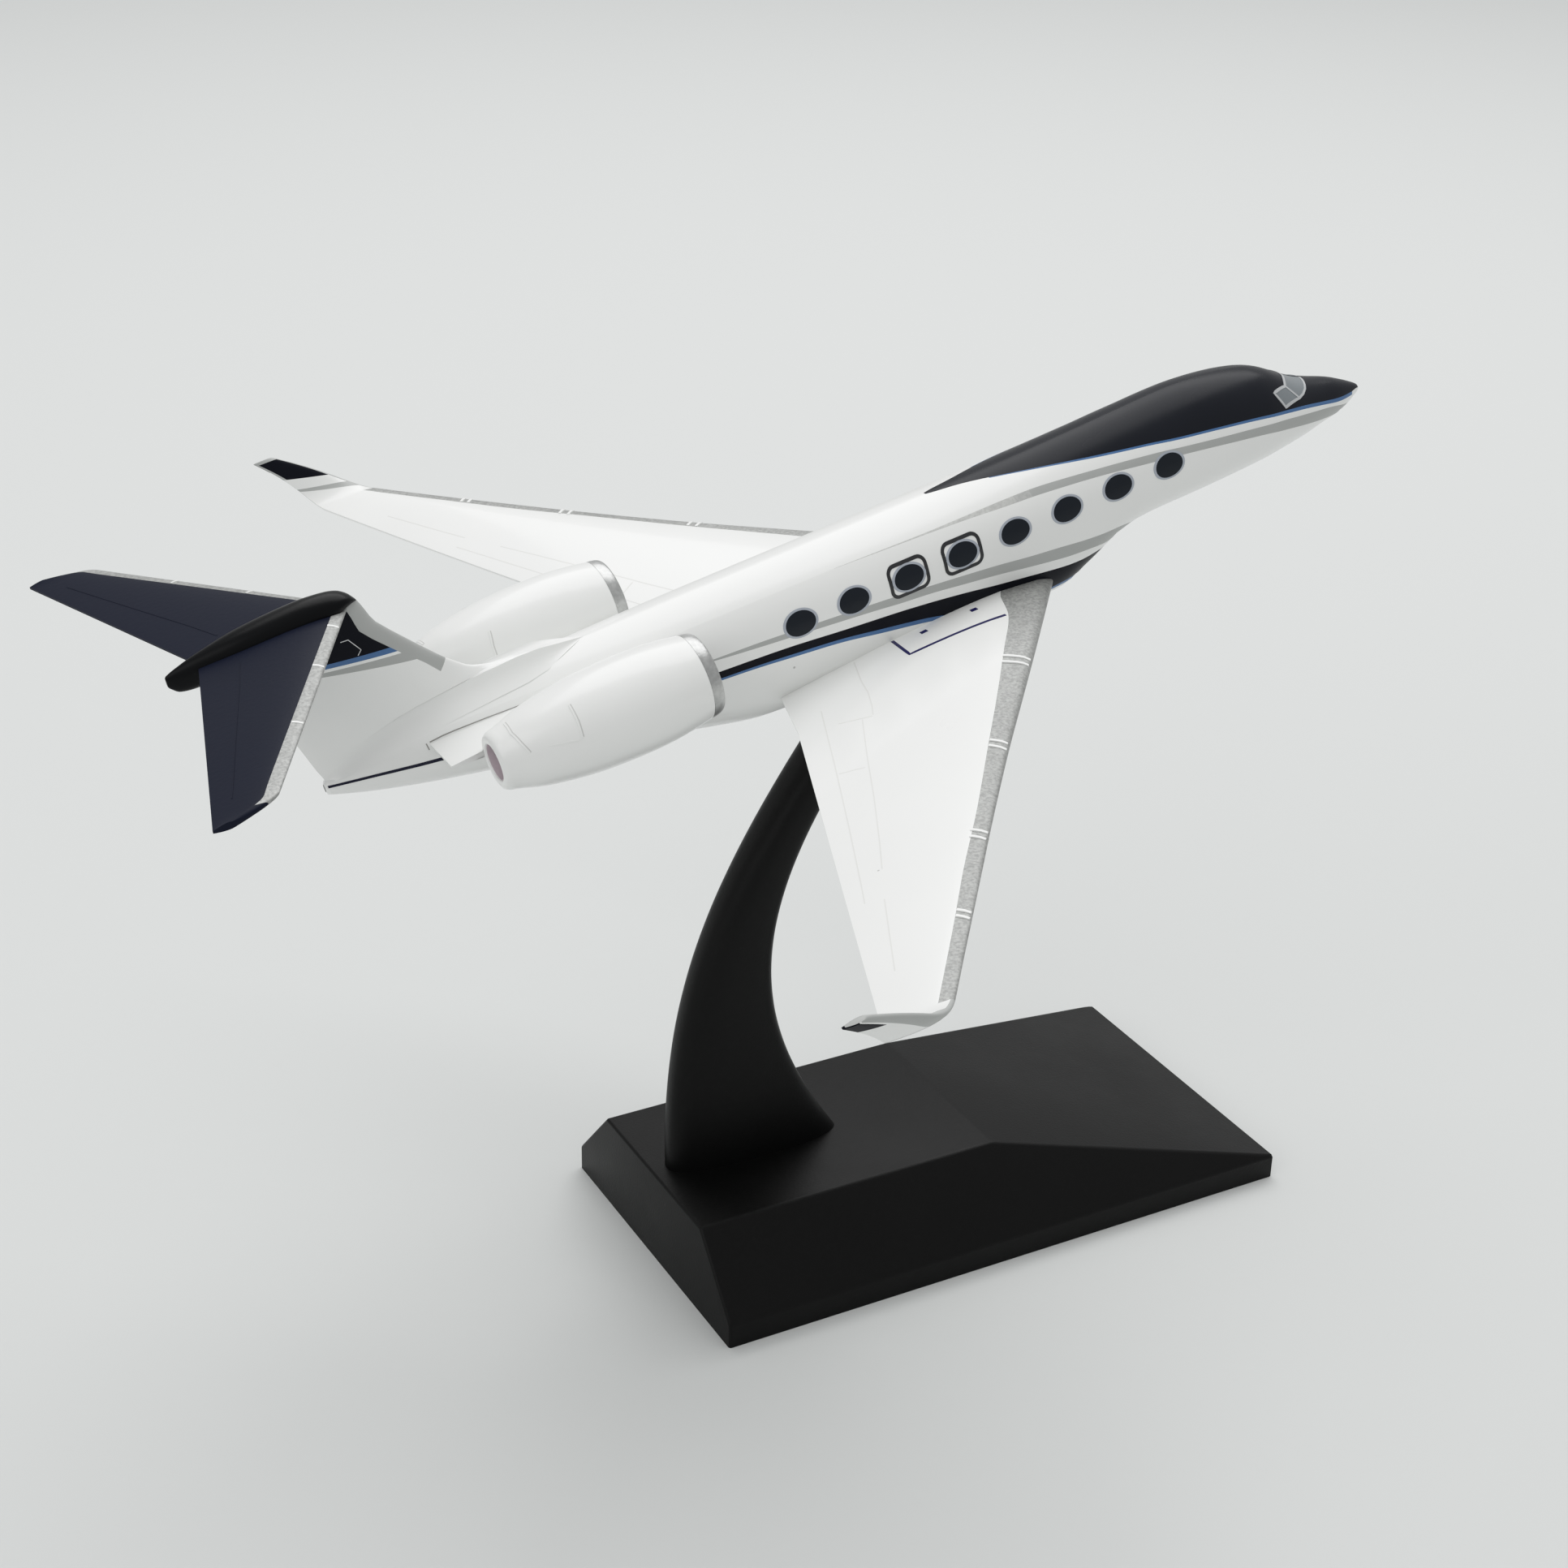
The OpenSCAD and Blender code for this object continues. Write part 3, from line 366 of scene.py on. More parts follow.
# How far apart clouds of tone, dust specks and the patches of specks lie
CLOUD, SPECK_GAP, SPECK_PATCH = 18.18, 3.846, 7.143


def finish(name, base, rough, bump=0.0, grain=0.6, shade=0.03, coat=0.0, metal=0.0, specks=0.0, shine=0.5,
           mottle=0.0):
    """Moulded, sprayed or printed finish: cloudy colour, an uneven gloss and a fine relief.

    The grain is a size in millimetres. A real one of 0.05 to 0.1 is too fine to show, so it is
    drawn as coarse as it needs to show.
    """
    made = bpy.data.materials.new(name)
    made.use_nodes = True
    tree = made.node_tree
    surface = tree.nodes["Principled BSDF"]
    place = add(tree, "TexCoord", {}).outputs["Object"]
    cloud = add(tree, "TexNoise", {"Vector": place}, Scale=1000 / CLOUD, Detail=4, Roughness=0.6).outputs["Fac"]
    fine = add(tree, "TexNoise", {"Vector": place}, Scale=1000 / grain, Detail=3, Roughness=0.55).outputs["Fac"]
    tone = colour(base)
    dark = [c * (1 - shade) for c in tone[:3]] + [1]
    pale = [min(1, c * (1 + shade)) for c in tone[:3]] + [1]
    blend = add(tree, "ValToRGB", {"Fac": cloud})
    blend.color_ramp.elements[0].position, blend.color_ramp.elements[0].color = 0.32, dark
    blend.color_ramp.elements[1].position, blend.color_ramp.elements[1].color = 0.68, pale
    paint = blend.outputs["Color"]
    if mottle:
        flake = add(tree, "MapRange", {"Value": fine}, From_Min=0.35, From_Max=0.65,
                    To_Min=1 - mottle, To_Max=1 + mottle)
        ground = add(tree, "Mix", {"A": paint, "B": flake.outputs["Result"]}, data_type="RGBA",
                     blend_type="MULTIPLY", Factor=1)
        paint = ground.outputs["Result"]
    if specks:
        spots = add(tree, "TexVoronoi", {"Vector": place}, Scale=1000 / SPECK_GAP, Randomness=1)
        near = add(tree, "MapRange", {"Value": spots.outputs["Distance"]}, From_Min=0.03, From_Max=0.045,
                   To_Min=specks, To_Max=0)
        mask = add(tree, "TexNoise", {"Vector": place}, Scale=1000 / SPECK_PATCH, Detail=1)
        some = add(tree, "Math", {0: mask.outputs["Fac"]}, operation="GREATER_THAN")
        some.inputs[1].default_value = 0.62
        both = add(tree, "Math", {0: near.outputs["Result"], 1: some.outputs["Value"]}, operation="MULTIPLY")
        dust = add(tree, "Mix", {"Factor": both.outputs["Value"], "A": paint}, data_type="RGBA")
        dust.inputs["B"].default_value = colour("6f6c66")
        paint = dust.outputs["Result"]
    tree.links.new(paint, surface.inputs["Base Color"])
    gloss = add(tree, "MapRange", {"Value": cloud}, From_Min=0.3, From_Max=0.7,
                To_Min=rough * 0.9, To_Max=rough * 1.1)
    tree.links.new(gloss.outputs["Result"], surface.inputs["Roughness"])
    relief = add(tree, "Bump", {"Height": fine}, Strength=bump, Distance=0.00004)
    tree.links.new(relief.outputs["Normal"], surface.inputs["Normal"])
    surface.inputs["Coat Weight"].default_value = coat
    surface.inputs["Coat Roughness"].default_value = 0.08
    surface.inputs["Metallic"].default_value = metal
    surface.inputs["Specular IOR Level"].default_value = shine
    return made


# Gloss paint: clean white with soft, bright reflections and a few grey specks of dust
white_gloss = finish("sprayed_white_abs", "edeeec", 0.3, bump=0.12, shade=0.012, coat=0.3, specks=0.55)
# Printed inks: even tones, duller than the paint. Only the dark crown shows a soft sheen.
crown_black = finish("printed_crown_black", "1a1c22", 0.27, bump=0.1, shade=0.05, shine=0.1)
band_grey = finish("printed_cheatline_grey", "a8aaa8", 0.4, bump=0.1, shade=0.05, shine=0.4)
edge_blue = finish("printed_edge_blue", "466a98", 0.4, bump=0.1, shade=0.05, shine=0.3)
band_navy = finish("printed_band_navy", "0c0e16", 0.4, bump=0.1, shade=0.06, shine=0.09)
fuselage_finishes = [white_gloss, crown_black, band_grey, edge_blue, band_navy]
# Fine raster prints: the upper cheatline pales backwards in three steps, each a little speckled
for name, base, mottle in (("thin", "c3c4c1", 0.12), ("light", "bbbcb9", 0.08), ("mid", "b2b3b1", 0.08)):
    fuselage_finishes.append(finish(
        "printed_cheatline_grey_" + name, base, 0.4, bump=0.1, grain=0.3, shade=0.06, mottle=mottle))

# Share of its section that the skin keeps near its ends, which rounds them
ends = {0.07: 0.55, FUSELAGE_L - 0.8: 1, FUSELAGE_L - 0.35: 0.97, FUSELAGE_L - 0.1: 0.86, FUSELAGE_L: 0.6}
stations = [0.07, 0.15, 0.35, 0.6, 0.9, 1.3, 1.8]
while stations[-1] < FUSELAGE_L - 1.4:
    stations.append(stations[-1] + (0.6 if stations[-1] < NOSE_L else 1.05))
stations += list(ends)[1:]


def skin_row(s):
    """One section of the left half's skin, whose first and last points lie in the middle."""
    draw_in = ends.get(s, 1)
    waist = flow(outline, s, 4)
    row = []
    for a in row_angles(s):
        p = skin(s, a)
        row.append(Vector((p.x, max(p.y, 0) * draw_in, waist + (p.z - waist) * draw_in)))
    row[0].y = row[-1].y = 0
    return row


shell = loft(
    [skin_row(s) for s in stations],
    paint=lambda i, k: painted(row_band[i], (stations[k] + stations[k + 1]) / 2))
close_up(shell)

FIN_TOP_Z, FIN_KINK_Z, FIN_TOP_CHORD, FIN_THICK, FOIL_TAIL = 19, 17.3, 13.8, 2.2, 0.24
ROOF_END = FUSELAGE_L - 0.1
# Height, and how far the fin's front edge lies there ahead of the front of its top
fin_front = [
    [TAIL_END_Z - 0.3, 25], [CABIN_R - 0.6, 24.4], [CABIN_R, 22], [CABIN_R + 0.3, 18.6],
    [CABIN_R + 0.8, 14.4], [CABIN_R + 1.5, 11], [CABIN_R + 2.3, 9.2], [CABIN_R + 4, 7.3],
    [15.08, 3.15], [FIN_KINK_Z, 1.32], [18.1, 0.93], [FIN_TOP_Z, 0.62], [20.42, 0.04], [21.2, -0.5]]
# Height and width of the grey strip behind that edge
strip_widths = [(9, 2.0), (12, 2.2), (15, 2.25), (17, 2.15), (18.3, 1.85), (20.5, 1.62)]


def foil_half(u):
    """Half thickness of an aerofoil of unit chord and thickness at u behind its front edge."""
    return 5 * (0.2969 * sqrt(u) - 0.126 * u - 0.3516 * u * u + 0.2843 * u ** 3 - 0.1036 * u ** 4)


# Stations of the fin's rear and front edge at a height
def fin_aft(z):
    return FUSELAGE_L - 0.9 + 0.31 * z


def fin_fore(z):
    return fin_aft(FIN_TOP_Z) - FIN_TOP_CHORD - flow(fin_front, z)


def fin_half(z, u):
    """Half thickness of the fin at a height and a share of its length."""
    return FIN_THICK / 2 * mix(1, 0.75, z / FIN_TOP_Z) * foil_half(u) * 2 + FOIL_TAIL / 2 * u


def roof(s, y=0):
    """Height of the upper skin at a station and a distance from the middle."""
    half = flow(outline, s, 3)
    waist = flow(outline, s, 4)
    return waist + (flow(outline, s, 1) - waist) * sqrt(max(0, 1 - (y / half) ** 2))


# Width of the rounded corner between roof and fin
BLEND = 1.7
# Places of a row's points, as shares of the strip and of the fin behind it
strip_shares = [0, 0.03, 0.12, 0.3, 0.55, 0.8, 1]
fin_shares = [0.045, 0.115, 0.205, 0.295, 0.4, 0.5, 0.6, 0.69, 0.77, 0.85, 0.92, 0.965, 1]


def fin_row(height, spread=0.0, wide=None):
    """Row along the fin at the heights given over the stations. A spread bends it out over the roof."""
    # The row ends where its height meets the fin's edges, which many half steps find
    fore, aft = 107, 134
    for i in range(30):
        fore, aft = mix(fore, fin_fore(height(fore)), 0.5), mix(aft, fin_aft(height(aft)), 0.5)
    at = min(strip_widths[-1][0], max(strip_widths[0][0], height(fore)))
    strip = min(0.2, (wide or flow(strip_widths, at)) / (aft - fore))
    row = []
    for u in [strip * share for share in strip_shares] + [mix(strip, 1, share) for share in fin_shares]:
        s = mix(fore, aft, u)
        clear = min(1, max(0, (height(s) - roof(min(s, ROOF_END))) / 4))
        y = fin_half(max(height(s), 0), u) * mix(min(1, sqrt(u / 0.15)), 1, clear)
        room = 0.8 * flow(outline, min(s, FUSELAGE_L - 0.4), 3) - y
        w = max(0.02, min(BLEND * min(1, u * 5) * min(1, (1 - u) * 9 + 0.2), room))
        if spread is not None:
            y += w * (1 - cos(radians(spread)))
            z = roof(min(s, ROOF_END), y) + w * (1 - sin(radians(spread)))
        else:
            z = height(s)
        row.append(Vector((-s, y if 0 < u < 1 else 0, z)))
    return row


def band_line(z, slope):
    """Straight line over the fin, by its height at station 127 and its slope."""
    return lambda s: z + slope * (s - 127)


# Rows up the fin. The first one falls steeply at its front, along the slanted foot of the strip.
fin_lines = [lambda s: max(10.28 - 0.98 * (s - 118.25), 9.28 + 0.12 * (s - 119.27))]
fin_lines += [band_line(*line) for line in (
    (12.3, 0.2), (13.01, 0.2096), (13.784, 0.1425), (14.119, 0.1465), (14.687, 0.13),
    (16, 0.08), (FIN_KINK_Z, 0.02), (18.1, 0), (FIN_TOP_Z, 0), (19.7, 0), (20.4, 0))]
# Rows that curve out over the roof, and four that still follow it
rooted = [fin_row(lambda s, h=h: roof(min(s, ROOF_END)) + h, None) for h in (1.6, 1.9, 2.3, 2.8)]
fin_rows = [[Vector((p.x, 0, p.z - 1.5)) for p in fin_row(roof, 90)]]
fin_rows += [fin_row(roof, spread) for spread in (90, 72, 54, 36, 18, 0)]
fin_rows += rooted + [fin_row(line, None, 1.02 if n == 0 else None) for n, line in enumerate(fin_lines)]
first_line = len(fin_rows) - len(fin_lines)


def fin_paint(i, k):
    """Grey front strip, light stripe, blue edge and the dark top, by row and step."""
    if i < 6 and k >= first_line:
        return GREY
    if k >= first_line + 5:
        return NAVY
    return {first_line + 4: BLUE, first_line + 2: GREY}.get(k, WHITE)


fin_rows.append([Vector((p.x, 0, p.z)) for p in fin_rows[-1]])
fin = close_up(loft(fin_rows, paint=fin_paint))
left_half = merged([shell, fin])
for side, half in (("left", left_half), ("right", mirrored(left_half))):
    piece("fuselage_shell_" + side, half, fuselage_finishes, ["fuselage_" + side + "_half"])

# Printed lines on the tail. A thin navy line along each side of the cone, and a
# fine white open outline in the dark field of the fin. A painted shadow of the
# pylon's glued joint, a grey line along its root, lies here too.


def tube(rings, paint=None):
    """Solid through closed rings of points."""
    return close_up(loft(rings, closed=True, paint=paint))


def ribbon(at, path, wide, out=0.03, deep=0.05, step=0.5):
    """Thin raised line along a path on a surface, of which at(a, b, out) gives the points."""
    points = []
    for (a0, b0), (a1, b1) in zip(path, path[1:]):
        n = max(1, int(hypot(a1 - a0, b1 - b0) / step))
        points += [(mix(a0, a1, i / n), mix(b0, b1, i / n)) for i in range(n)]
    points.append(path[-1])
    rows = []
    for i, (a, b) in enumerate(points):
        p, q = points[max(i - 1, 0)], points[min(i + 1, len(points) - 1)]
        d = hypot(q[0] - p[0], q[1] - p[1])
        w = mix(*wide, i / (len(points) - 1)) / 2 if isinstance(wide, tuple) else wide / 2
        na, nb = (p[1] - q[1]) / d, (q[0] - p[0]) / d
        rows.append([at(a + na * k * w, b + nb * k * w, high)
                     for k, high in ((-1, -deep), (-0.9, out), (0.9, out), (1, -deep))])
    return tube(rows)


def number_faces(shapes, number):
    """Gives whole shapes another of their piece's finishes."""
    for bm in shapes:
        for f in bm.faces:
            f.material_index = number


def pair(name, bm, finishes, node=""):
    """Makes the right-hand and the left-hand piece of a left-hand shape."""
    for side, shape in (("_right", mirrored(bm)), ("_left", bm)):
        piece(name + side, shape, finishes, [node + side] if node else ())


# Points at a height out over the side of the fuselage and over the fin
def on_skin(s, z, out):
    return skin(s, angle(s, z), out)


def on_fin(s, z, out):
    fore = fin_fore(z)
    return Vector((-s, fin_half(z, (s - fore) / (fin_aft(z) - fore)) + out, z))


# Thin dull inks, one dark and one pale, and a rough grey that stands for the joint's shadow
line_navy = finish("printed_line_navy", "13152a", 0.4, shade=0.05, shine=0.2)
line_white = finish("printed_line_white", "d9dadb", 0.4, shade=0.03)
joint_grey = finish("joint_shadow_grey", "8d8c88", 0.6, shade=0.06)
tail_line = ribbon(
    on_skin, [(92.6, -0.78), (100, -0.15), (110, 0.62), (118, 1.08), (122.44, 1.38), (126.3, 1.59),
              (129.6, 1.71), (132.1, 1.78), (134.15, 1.83)], (0.84, 0.26), step=1)
fin_mark = ribbon(on_fin, [(128.57, 16.97), (127.73, 16.91), (126.73, 15.34), (127.2, 14.86)], 0.085, 0.02)
# Painted shade: grey lines where the pylon's glued root and its rear end lie in shadow
pylon_joint_shadow = ribbon(on_skin, [(123.05, 3.38), (121.6, 3.58), (120.2, 3.68), (116.63, 3.81), (110.81, 3.9)],
                     (0.13, 0.07), 0.02)
joint_end_shadow = ribbon(on_skin, [(123.45, 3.35), (123.38, 2.7)], 0.12, 0.04, step=0.2)
number_faces([fin_mark], 1)
number_faces([pylon_joint_shadow, joint_end_shadow], 2)
tail_lines = merged([tail_line, fin_mark, pylon_joint_shadow, joint_end_shadow])
pair("tail_lines", tail_lines, [line_navy, line_white, joint_grey])

# Windshield. Two grey panes printed on each side of the nose in pale grey
# frames: a curved front one beside the middle post and a smaller side one.
# Printed panes: mid grey and smooth, with more sheen than their flat pale frames
pane_grey = finish("printed_pane_grey", "73797d", 0.3, shade=0.06, shine=0.6)
frame_grey = finish("printed_pane_frame_grey", "b3b5b7", 0.4, shade=0.03)
# Millimetres round the nose that stand for one degree
ROUND = 0.075


def on_nose(s, w, out):
    return skin(s, w / ROUND, out)


def spread_out(s, y, z=None):
    """Station and way round the nose, both in millimetres, of a point of its upper skin."""
    top, half, waist = (flow(outline, s, k) for k in (1, 3, 4))
    if z is None:
        return s, ROUND * degrees(acos(y / half))
    return s, ROUND * degrees(atan2((z - waist) / (top - waist), y / half))


post = [spread_out(12.6, 3.1, 2.82), spread_out(11.22, 3.8, 1.02)]
front_edge = [spread_out(*p) for p in (
    (8.45, 0.25), (8.5, 0.8), (8.73, 1.41), (9.05, 2.05), (9.48, 2.64), (10.26, 3.3))] + [post[1]]
rear_edge = [spread_out(*p) for p in (
    (11.2, 0.25), (11.3, 0.8), (11.55, 1.4), (11.85, 1.9), (12.15, 2.4), (12.4, 2.8))] + [post[0]]
side_rear = [spread_out(14.95, 4.13, 3.12), spread_out(14.45, 4.5, 2.15), spread_out(13.95, 4.82, 1.18)]


def pane(near, far, n=10):
    """Sheet on the nose between two equally long lines."""
    rows = []
    for i in range(len(near)):
        rows.append([on_nose(mix(near[i][0], far[i][0], j / n), mix(near[i][1], far[i][1], j / n), 0.03)
                     for j in range(n + 1)])
    return loft(rows)


middle_post = [(mix(post[0][0], post[1][0], k / 2), mix(post[0][1], post[1][1], k / 2)) for k in range(3)]
side_loop = post[:1] + side_rear + post[1:]
panes = [pane(rear_edge, front_edge), pane(middle_post, side_rear)]
frames = [ribbon(on_nose, line, 0.3, 0.07, 0.04, 0.3) for line in (front_edge, rear_edge, side_loop, post)]
number_faces(frames, 1)
windshield = merged(panes + frames)
bmesh.ops.recalc_face_normals(windshield, faces=windshield.faces)
pair("windshield", windshield, [pane_grey, frame_grey])

# Cabin windows and exit outlines. Printed on each side: eight dark ovals, each
# in a pale grey ring, and two black rounded outlines of the escape exits.
# Printed windows: near black with a little gloss, in a flat bluish grey ring
window_dark = finish("printed_window_dark", "11171f", 0.35, bump=0.05, shade=0.05, shine=0.2)
window_ring = finish("printed_window_ring", "a2a8b2", 0.4, shade=0.04)
outline_black = finish("printed_line_black", "1b1c1f", 0.4, shade=0.04)
window_places = [31.77, 38.86, 45.9, 52.93, 59.92, 66.93, 73.98, 80.74]
WINDOW_Z, WINDOW_W, WINDOW_H = 1.12, 1.85, 1.37
EXIT_Z, EXIT_W, EXIT_H, EXIT_R = 1.14, 2.33, 1.75, 0.85


def oval(s, z, share):
    """Ring of an oval window at a share of its glass size."""
    wide, high = WINDOW_W * share, WINDOW_H * share
    return [(s + wide * power(cos(2 * pi * k / 40), 0.98), z + high * power(sin(2 * pi * k / 40), 0.98))
            for k in range(40)]


def window_at(s):
    """Window and ring at a station, from steps of glass share and height over the skin."""
    steps = [(0.001, 0.05), (0.3, 0.05), (0.6, 0.05), (0.85, 0.05), (1, 0.05), (1.16, 0.045), (1.17, -0.05)]
    rings = [[on_skin(*p, out) for p in oval(s, WINDOW_Z, share)] for share, out in steps]
    return loft(rings[::-1], closed=True, paint=lambda i, k: 1 if k < 2 else 0)


def rounded_box(s, z, wide, high, r):
    """Points of a rounded rectangle on the skin's side, with its straight runs cut up."""
    corners = [(s + i * (wide - r), z + k * (high - r)) for i, k in ((1, 1), (-1, 1), (-1, -1), (1, -1))]
    points = []
    for quarter, (a, b) in enumerate(corners):
        turns = [(quarter + k / 6) * pi / 2 for k in range(7)]
        points += [(a + r * cos(t), b + r * sin(t)) for t in turns]
        c, d = corners[(quarter + 1) % 4]
        x, y = r * cos(turns[-1]), r * sin(turns[-1])
        points += [(mix(a, c, t / 5) + x, mix(b, d, t / 5) + y) for t in range(1, 5)]
    return points


def exit_at(s):
    """Outline of an exit round the window at a station."""
    rings = []
    for grow, out in ((-0.21, -0.04), (-0.2, 0.04), (0.2, 0.04), (0.21, -0.04)):
        box = rounded_box(s, EXIT_Z, EXIT_W + grow, EXIT_H + grow, EXIT_R + grow)
        rings.append([on_skin(*p, out) for p in box])
    return loft(rings[::-1], closed=True)


windows = merged([window_at(s) for s in window_places])
exits = merged([exit_at(s) for s in window_places[4:6]])
pair("cabin_windows", windows, [window_dark, window_ring])
pair("exit_outlines", exits, [outline_black])

# Wings. Solid mouldings in white ABS with a curled-up tip, glued by a stub in
# the belly fairing. The leading edge is a strip of silver paint.
WING_ROOT_Y, WING_DROP, ROOT_CHORD, KINK_Y, KINK_CHORD = 6.7, 7.2, 35.4, 14.4, 31.4
TIP_Y, TIP_CHORD, DIHEDRAL, FLEX, ROOT_THICK, TIP_THICK = 71, 7.5, 3.4, 1.5, 3.7, 1.0
SWEEP = tan(radians(39))
CURL_R, LEAN, WINGLET_L, WINGLET_CHORD, RAKE = 4, 66, 5, 2.6, 10.8


# The wing at a distance y from the middle: its height, straight front edge, length and thickness
def wing_z(y):
    share = (y - WING_ROOT_Y) / (TIP_Y - WING_ROOT_Y)
    return -WING_DROP + (y - WING_ROOT_Y) * tan(radians(DIHEDRAL)) + FLEX * abs(share) * share


def wing_fore(y):
    return WING_X + (y - WING_ROOT_Y) * SWEEP


def wing_chord(y):
    if y < KINK_Y:
        return mix(ROOT_CHORD, KINK_CHORD, (y - WING_ROOT_Y) / (KINK_Y - WING_ROOT_Y))
    return mix(KINK_CHORD, TIP_CHORD, (y - KINK_Y) / (TIP_Y - KINK_Y))


def wing_thick(y):
    share = max(0, (y - WING_ROOT_Y) / (TIP_Y - WING_ROOT_Y))
    return TIP_THICK + (ROOT_THICK - TIP_THICK) * max(0, 1 - share) ** 1.4


def foil_point(u, side, y, z, fore, chord, t, lean=0, out=0):
    """Point of an aerofoil at a share of its chord, over (1) or under (-1) it."""
    v = side * (foil_half(u) * t + FOIL_TAIL / 2 * u + out)
    return Vector((-(fore + chord * u), y - v * sin(radians(lean)), z + v * cos(radians(lean))))


# Rear edge of the silver strip: distance from the middle and station
strip_rear = [
    (6.7, 56.0), (7.3, 56.4), (11.8, 58.2), (17.4, 62.3), (26.4, 69), (34, 74.8), (44.7, 82.9),
    (52.9, 89.4), (60.9, 95.4), (68.9, 101.5), (71, 103.1)]
# Shares of the chord with points of a section, None at the strip's rear edge
top_steps = [0, 0.002, 0.008, 0.02, 0.035, 0.055, None, 0.2, 0.27, 0.34, 0.42, 0.5, 0.58, 0.66, 0.74, 0.81,
             0.87, 0.92, 0.96, 0.985, 1]
# Steps round a section where a front strip ends above, the rear edge lies, and the strip comes back
STRIP_END, TAIL_STEP, STRIP_BACK = 6, 20, 34


def section(at, strip):
    """Closed row round a section: from the front edge over the top to the tail and back below."""
    def steps(edge):
        return [edge if u is None else (u if u < 0.1 else mix(edge, 1, (u - 0.12) / 0.88)) for u in top_steps]
    over = [at(u, 1) for u in steps(strip)]
    under = [at(u, -1) for u in steps(0.075)]
    return over + under[:0:-1]


# How far the front edge is hollowed behind a straight line
hollow = [
    (5, 0), (6.7, 0), (14, 0.15), (20, 0.3), (27, 0.52), (34, 0.74), (40, 0.78), (47.4, 0.7), (53, 0.55),
    (59, 0.38), (66, 0.18), (69.5, 0.05), (71, 0)]


def wing_edge(y):
    """Station of the hollowed front edge, and the wing's length behind it."""
    back = max(0, flow(hollow, y))
    return wing_fore(y) + back, wing_chord(y) - back


def wing_point(y, out=0):
    """Function that gives the wing's points at a distance from the middle."""
    return lambda u, side: foil_point(u, side, y, wing_z(y), *wing_edge(y), wing_thick(y), 0, out)


TIP_SLOPE = DIHEDRAL + degrees(atan(2 * FLEX / (TIP_Y - WING_ROOT_Y)))
CURL = LEAN - TIP_SLOPE
CURL_L = CURL_R * radians(CURL)
PATH = CURL_L + WINGLET_L


def winglet_point(p):
    """Function that gives the winglet's points at a way up from the wing's flat end."""
    lean = TIP_SLOPE + CURL * min(1, p / CURL_L)
    up, u0 = max(0, p - CURL_L), p / PATH
    run = p * SWEEP + (RAKE - PATH * SWEEP) * u0 * u0
    a, b = radians(lean), radians(TIP_SLOPE)
    y = TIP_Y + CURL_R * (sin(a) - sin(b)) + up * cos(a)
    z = wing_z(TIP_Y) + CURL_R * (cos(b) - cos(a)) + up * sin(a)
    fore, chord, t = wing_fore(TIP_Y) + run, mix(TIP_CHORD, WINGLET_CHORD, u0), mix(TIP_THICK, 0.6, u0)
    return lambda u, side: foil_point(u, side, y, z, fore, chord, t, lean)


wing_places = [WING_ROOT_Y - 1.5, WING_ROOT_Y - 0.5] + [WING_ROOT_Y + 0.7 * i for i in range(11)]
wing_places += [mix(KINK_Y, TIP_Y, i / 60) for i in range(61)]
wing_rows = []
for y in wing_places:
    at = max(y, WING_ROOT_Y)
    fore, chord = wing_edge(at)
    wing_rows.append(section(wing_point(y), (flow(strip_rear, at) - fore) / chord))
# Rows up the winglet slant with its printed bands: place at the tail and at the front edge
curl_rows = [(0.3, 0.2), (0.8, 0.4), (1.3, 0.6), (1.8, 0.8), (2.3, 1), (2.8, 1.2), (3.3, 1.4), (3.6, 1.5),
             (3.9, 1.6), (4.1, 2.2), (4.3, 2.9), (4.9, 3.5), (5.5, 4.1), (6.02, 4.6), (6.5, 5.2), (7, 5.9),
             (7.5, 6.6), (8, 7.3), (8.4, 8), (8.85, 8.85), (PATH, PATH)]


def slanted(tail, front):
    """Function that gives the points of a slanted row up the winglet."""
    return lambda u, side: winglet_point(mix(front, tail, u))(u, side)


wing_rows += [section(slanted(*row), mix(0.23, 0.15, min(1, k / 8))) for k, row in enumerate(curl_rows)]
# The last row draws in, for a rounded tip
tip = wing_rows[-1]
middle = sum(tip, Vector()) / len(tip)
wing_rows.append([middle + (p - middle) * 0.8 + Vector((0, 0.03, 0.09)) for p in tip])


def wing_paint(i, k):
    """Silver front strip on the flat wing, then the winglet's grey front edge, stripe and dark field."""
    row = k - len(wing_places)
    if row < 0:
        return 1 if i < STRIP_END or i >= STRIP_BACK else 0
    over = i < TAIL_STEP
    if i < 5 or i >= 32 or over and (row in (8, 9) or row >= 19 or i >= 17 and row >= 13):
        return 3
    return 2 if over and row >= 13 or i < 31 and row >= 16 else 0


# Dull silver paint: mid grey, with fine glints and dots of its metal flakes
silver_paint = finish("silver_leading_edge_paint", "989997", 0.45, bump=1.0, grain=0.35, shade=0.08,
                      metal=0.3, mottle=0.22)
wing = tube(wing_rows, wing_paint)
pair("wing_moulding", wing, [white_gloss, silver_paint, band_navy, band_grey], "wing")

# Wing markings. Raised double bars across the silver strip at its joints, fine
# moulded lines round the flaps and ailerons, and a navy line round the root plate.


def on_wing(s, y, out):
    fore, chord = wing_edge(y)
    return wing_point(y, out)(max(0.0005, (s - fore) / chord), 1)


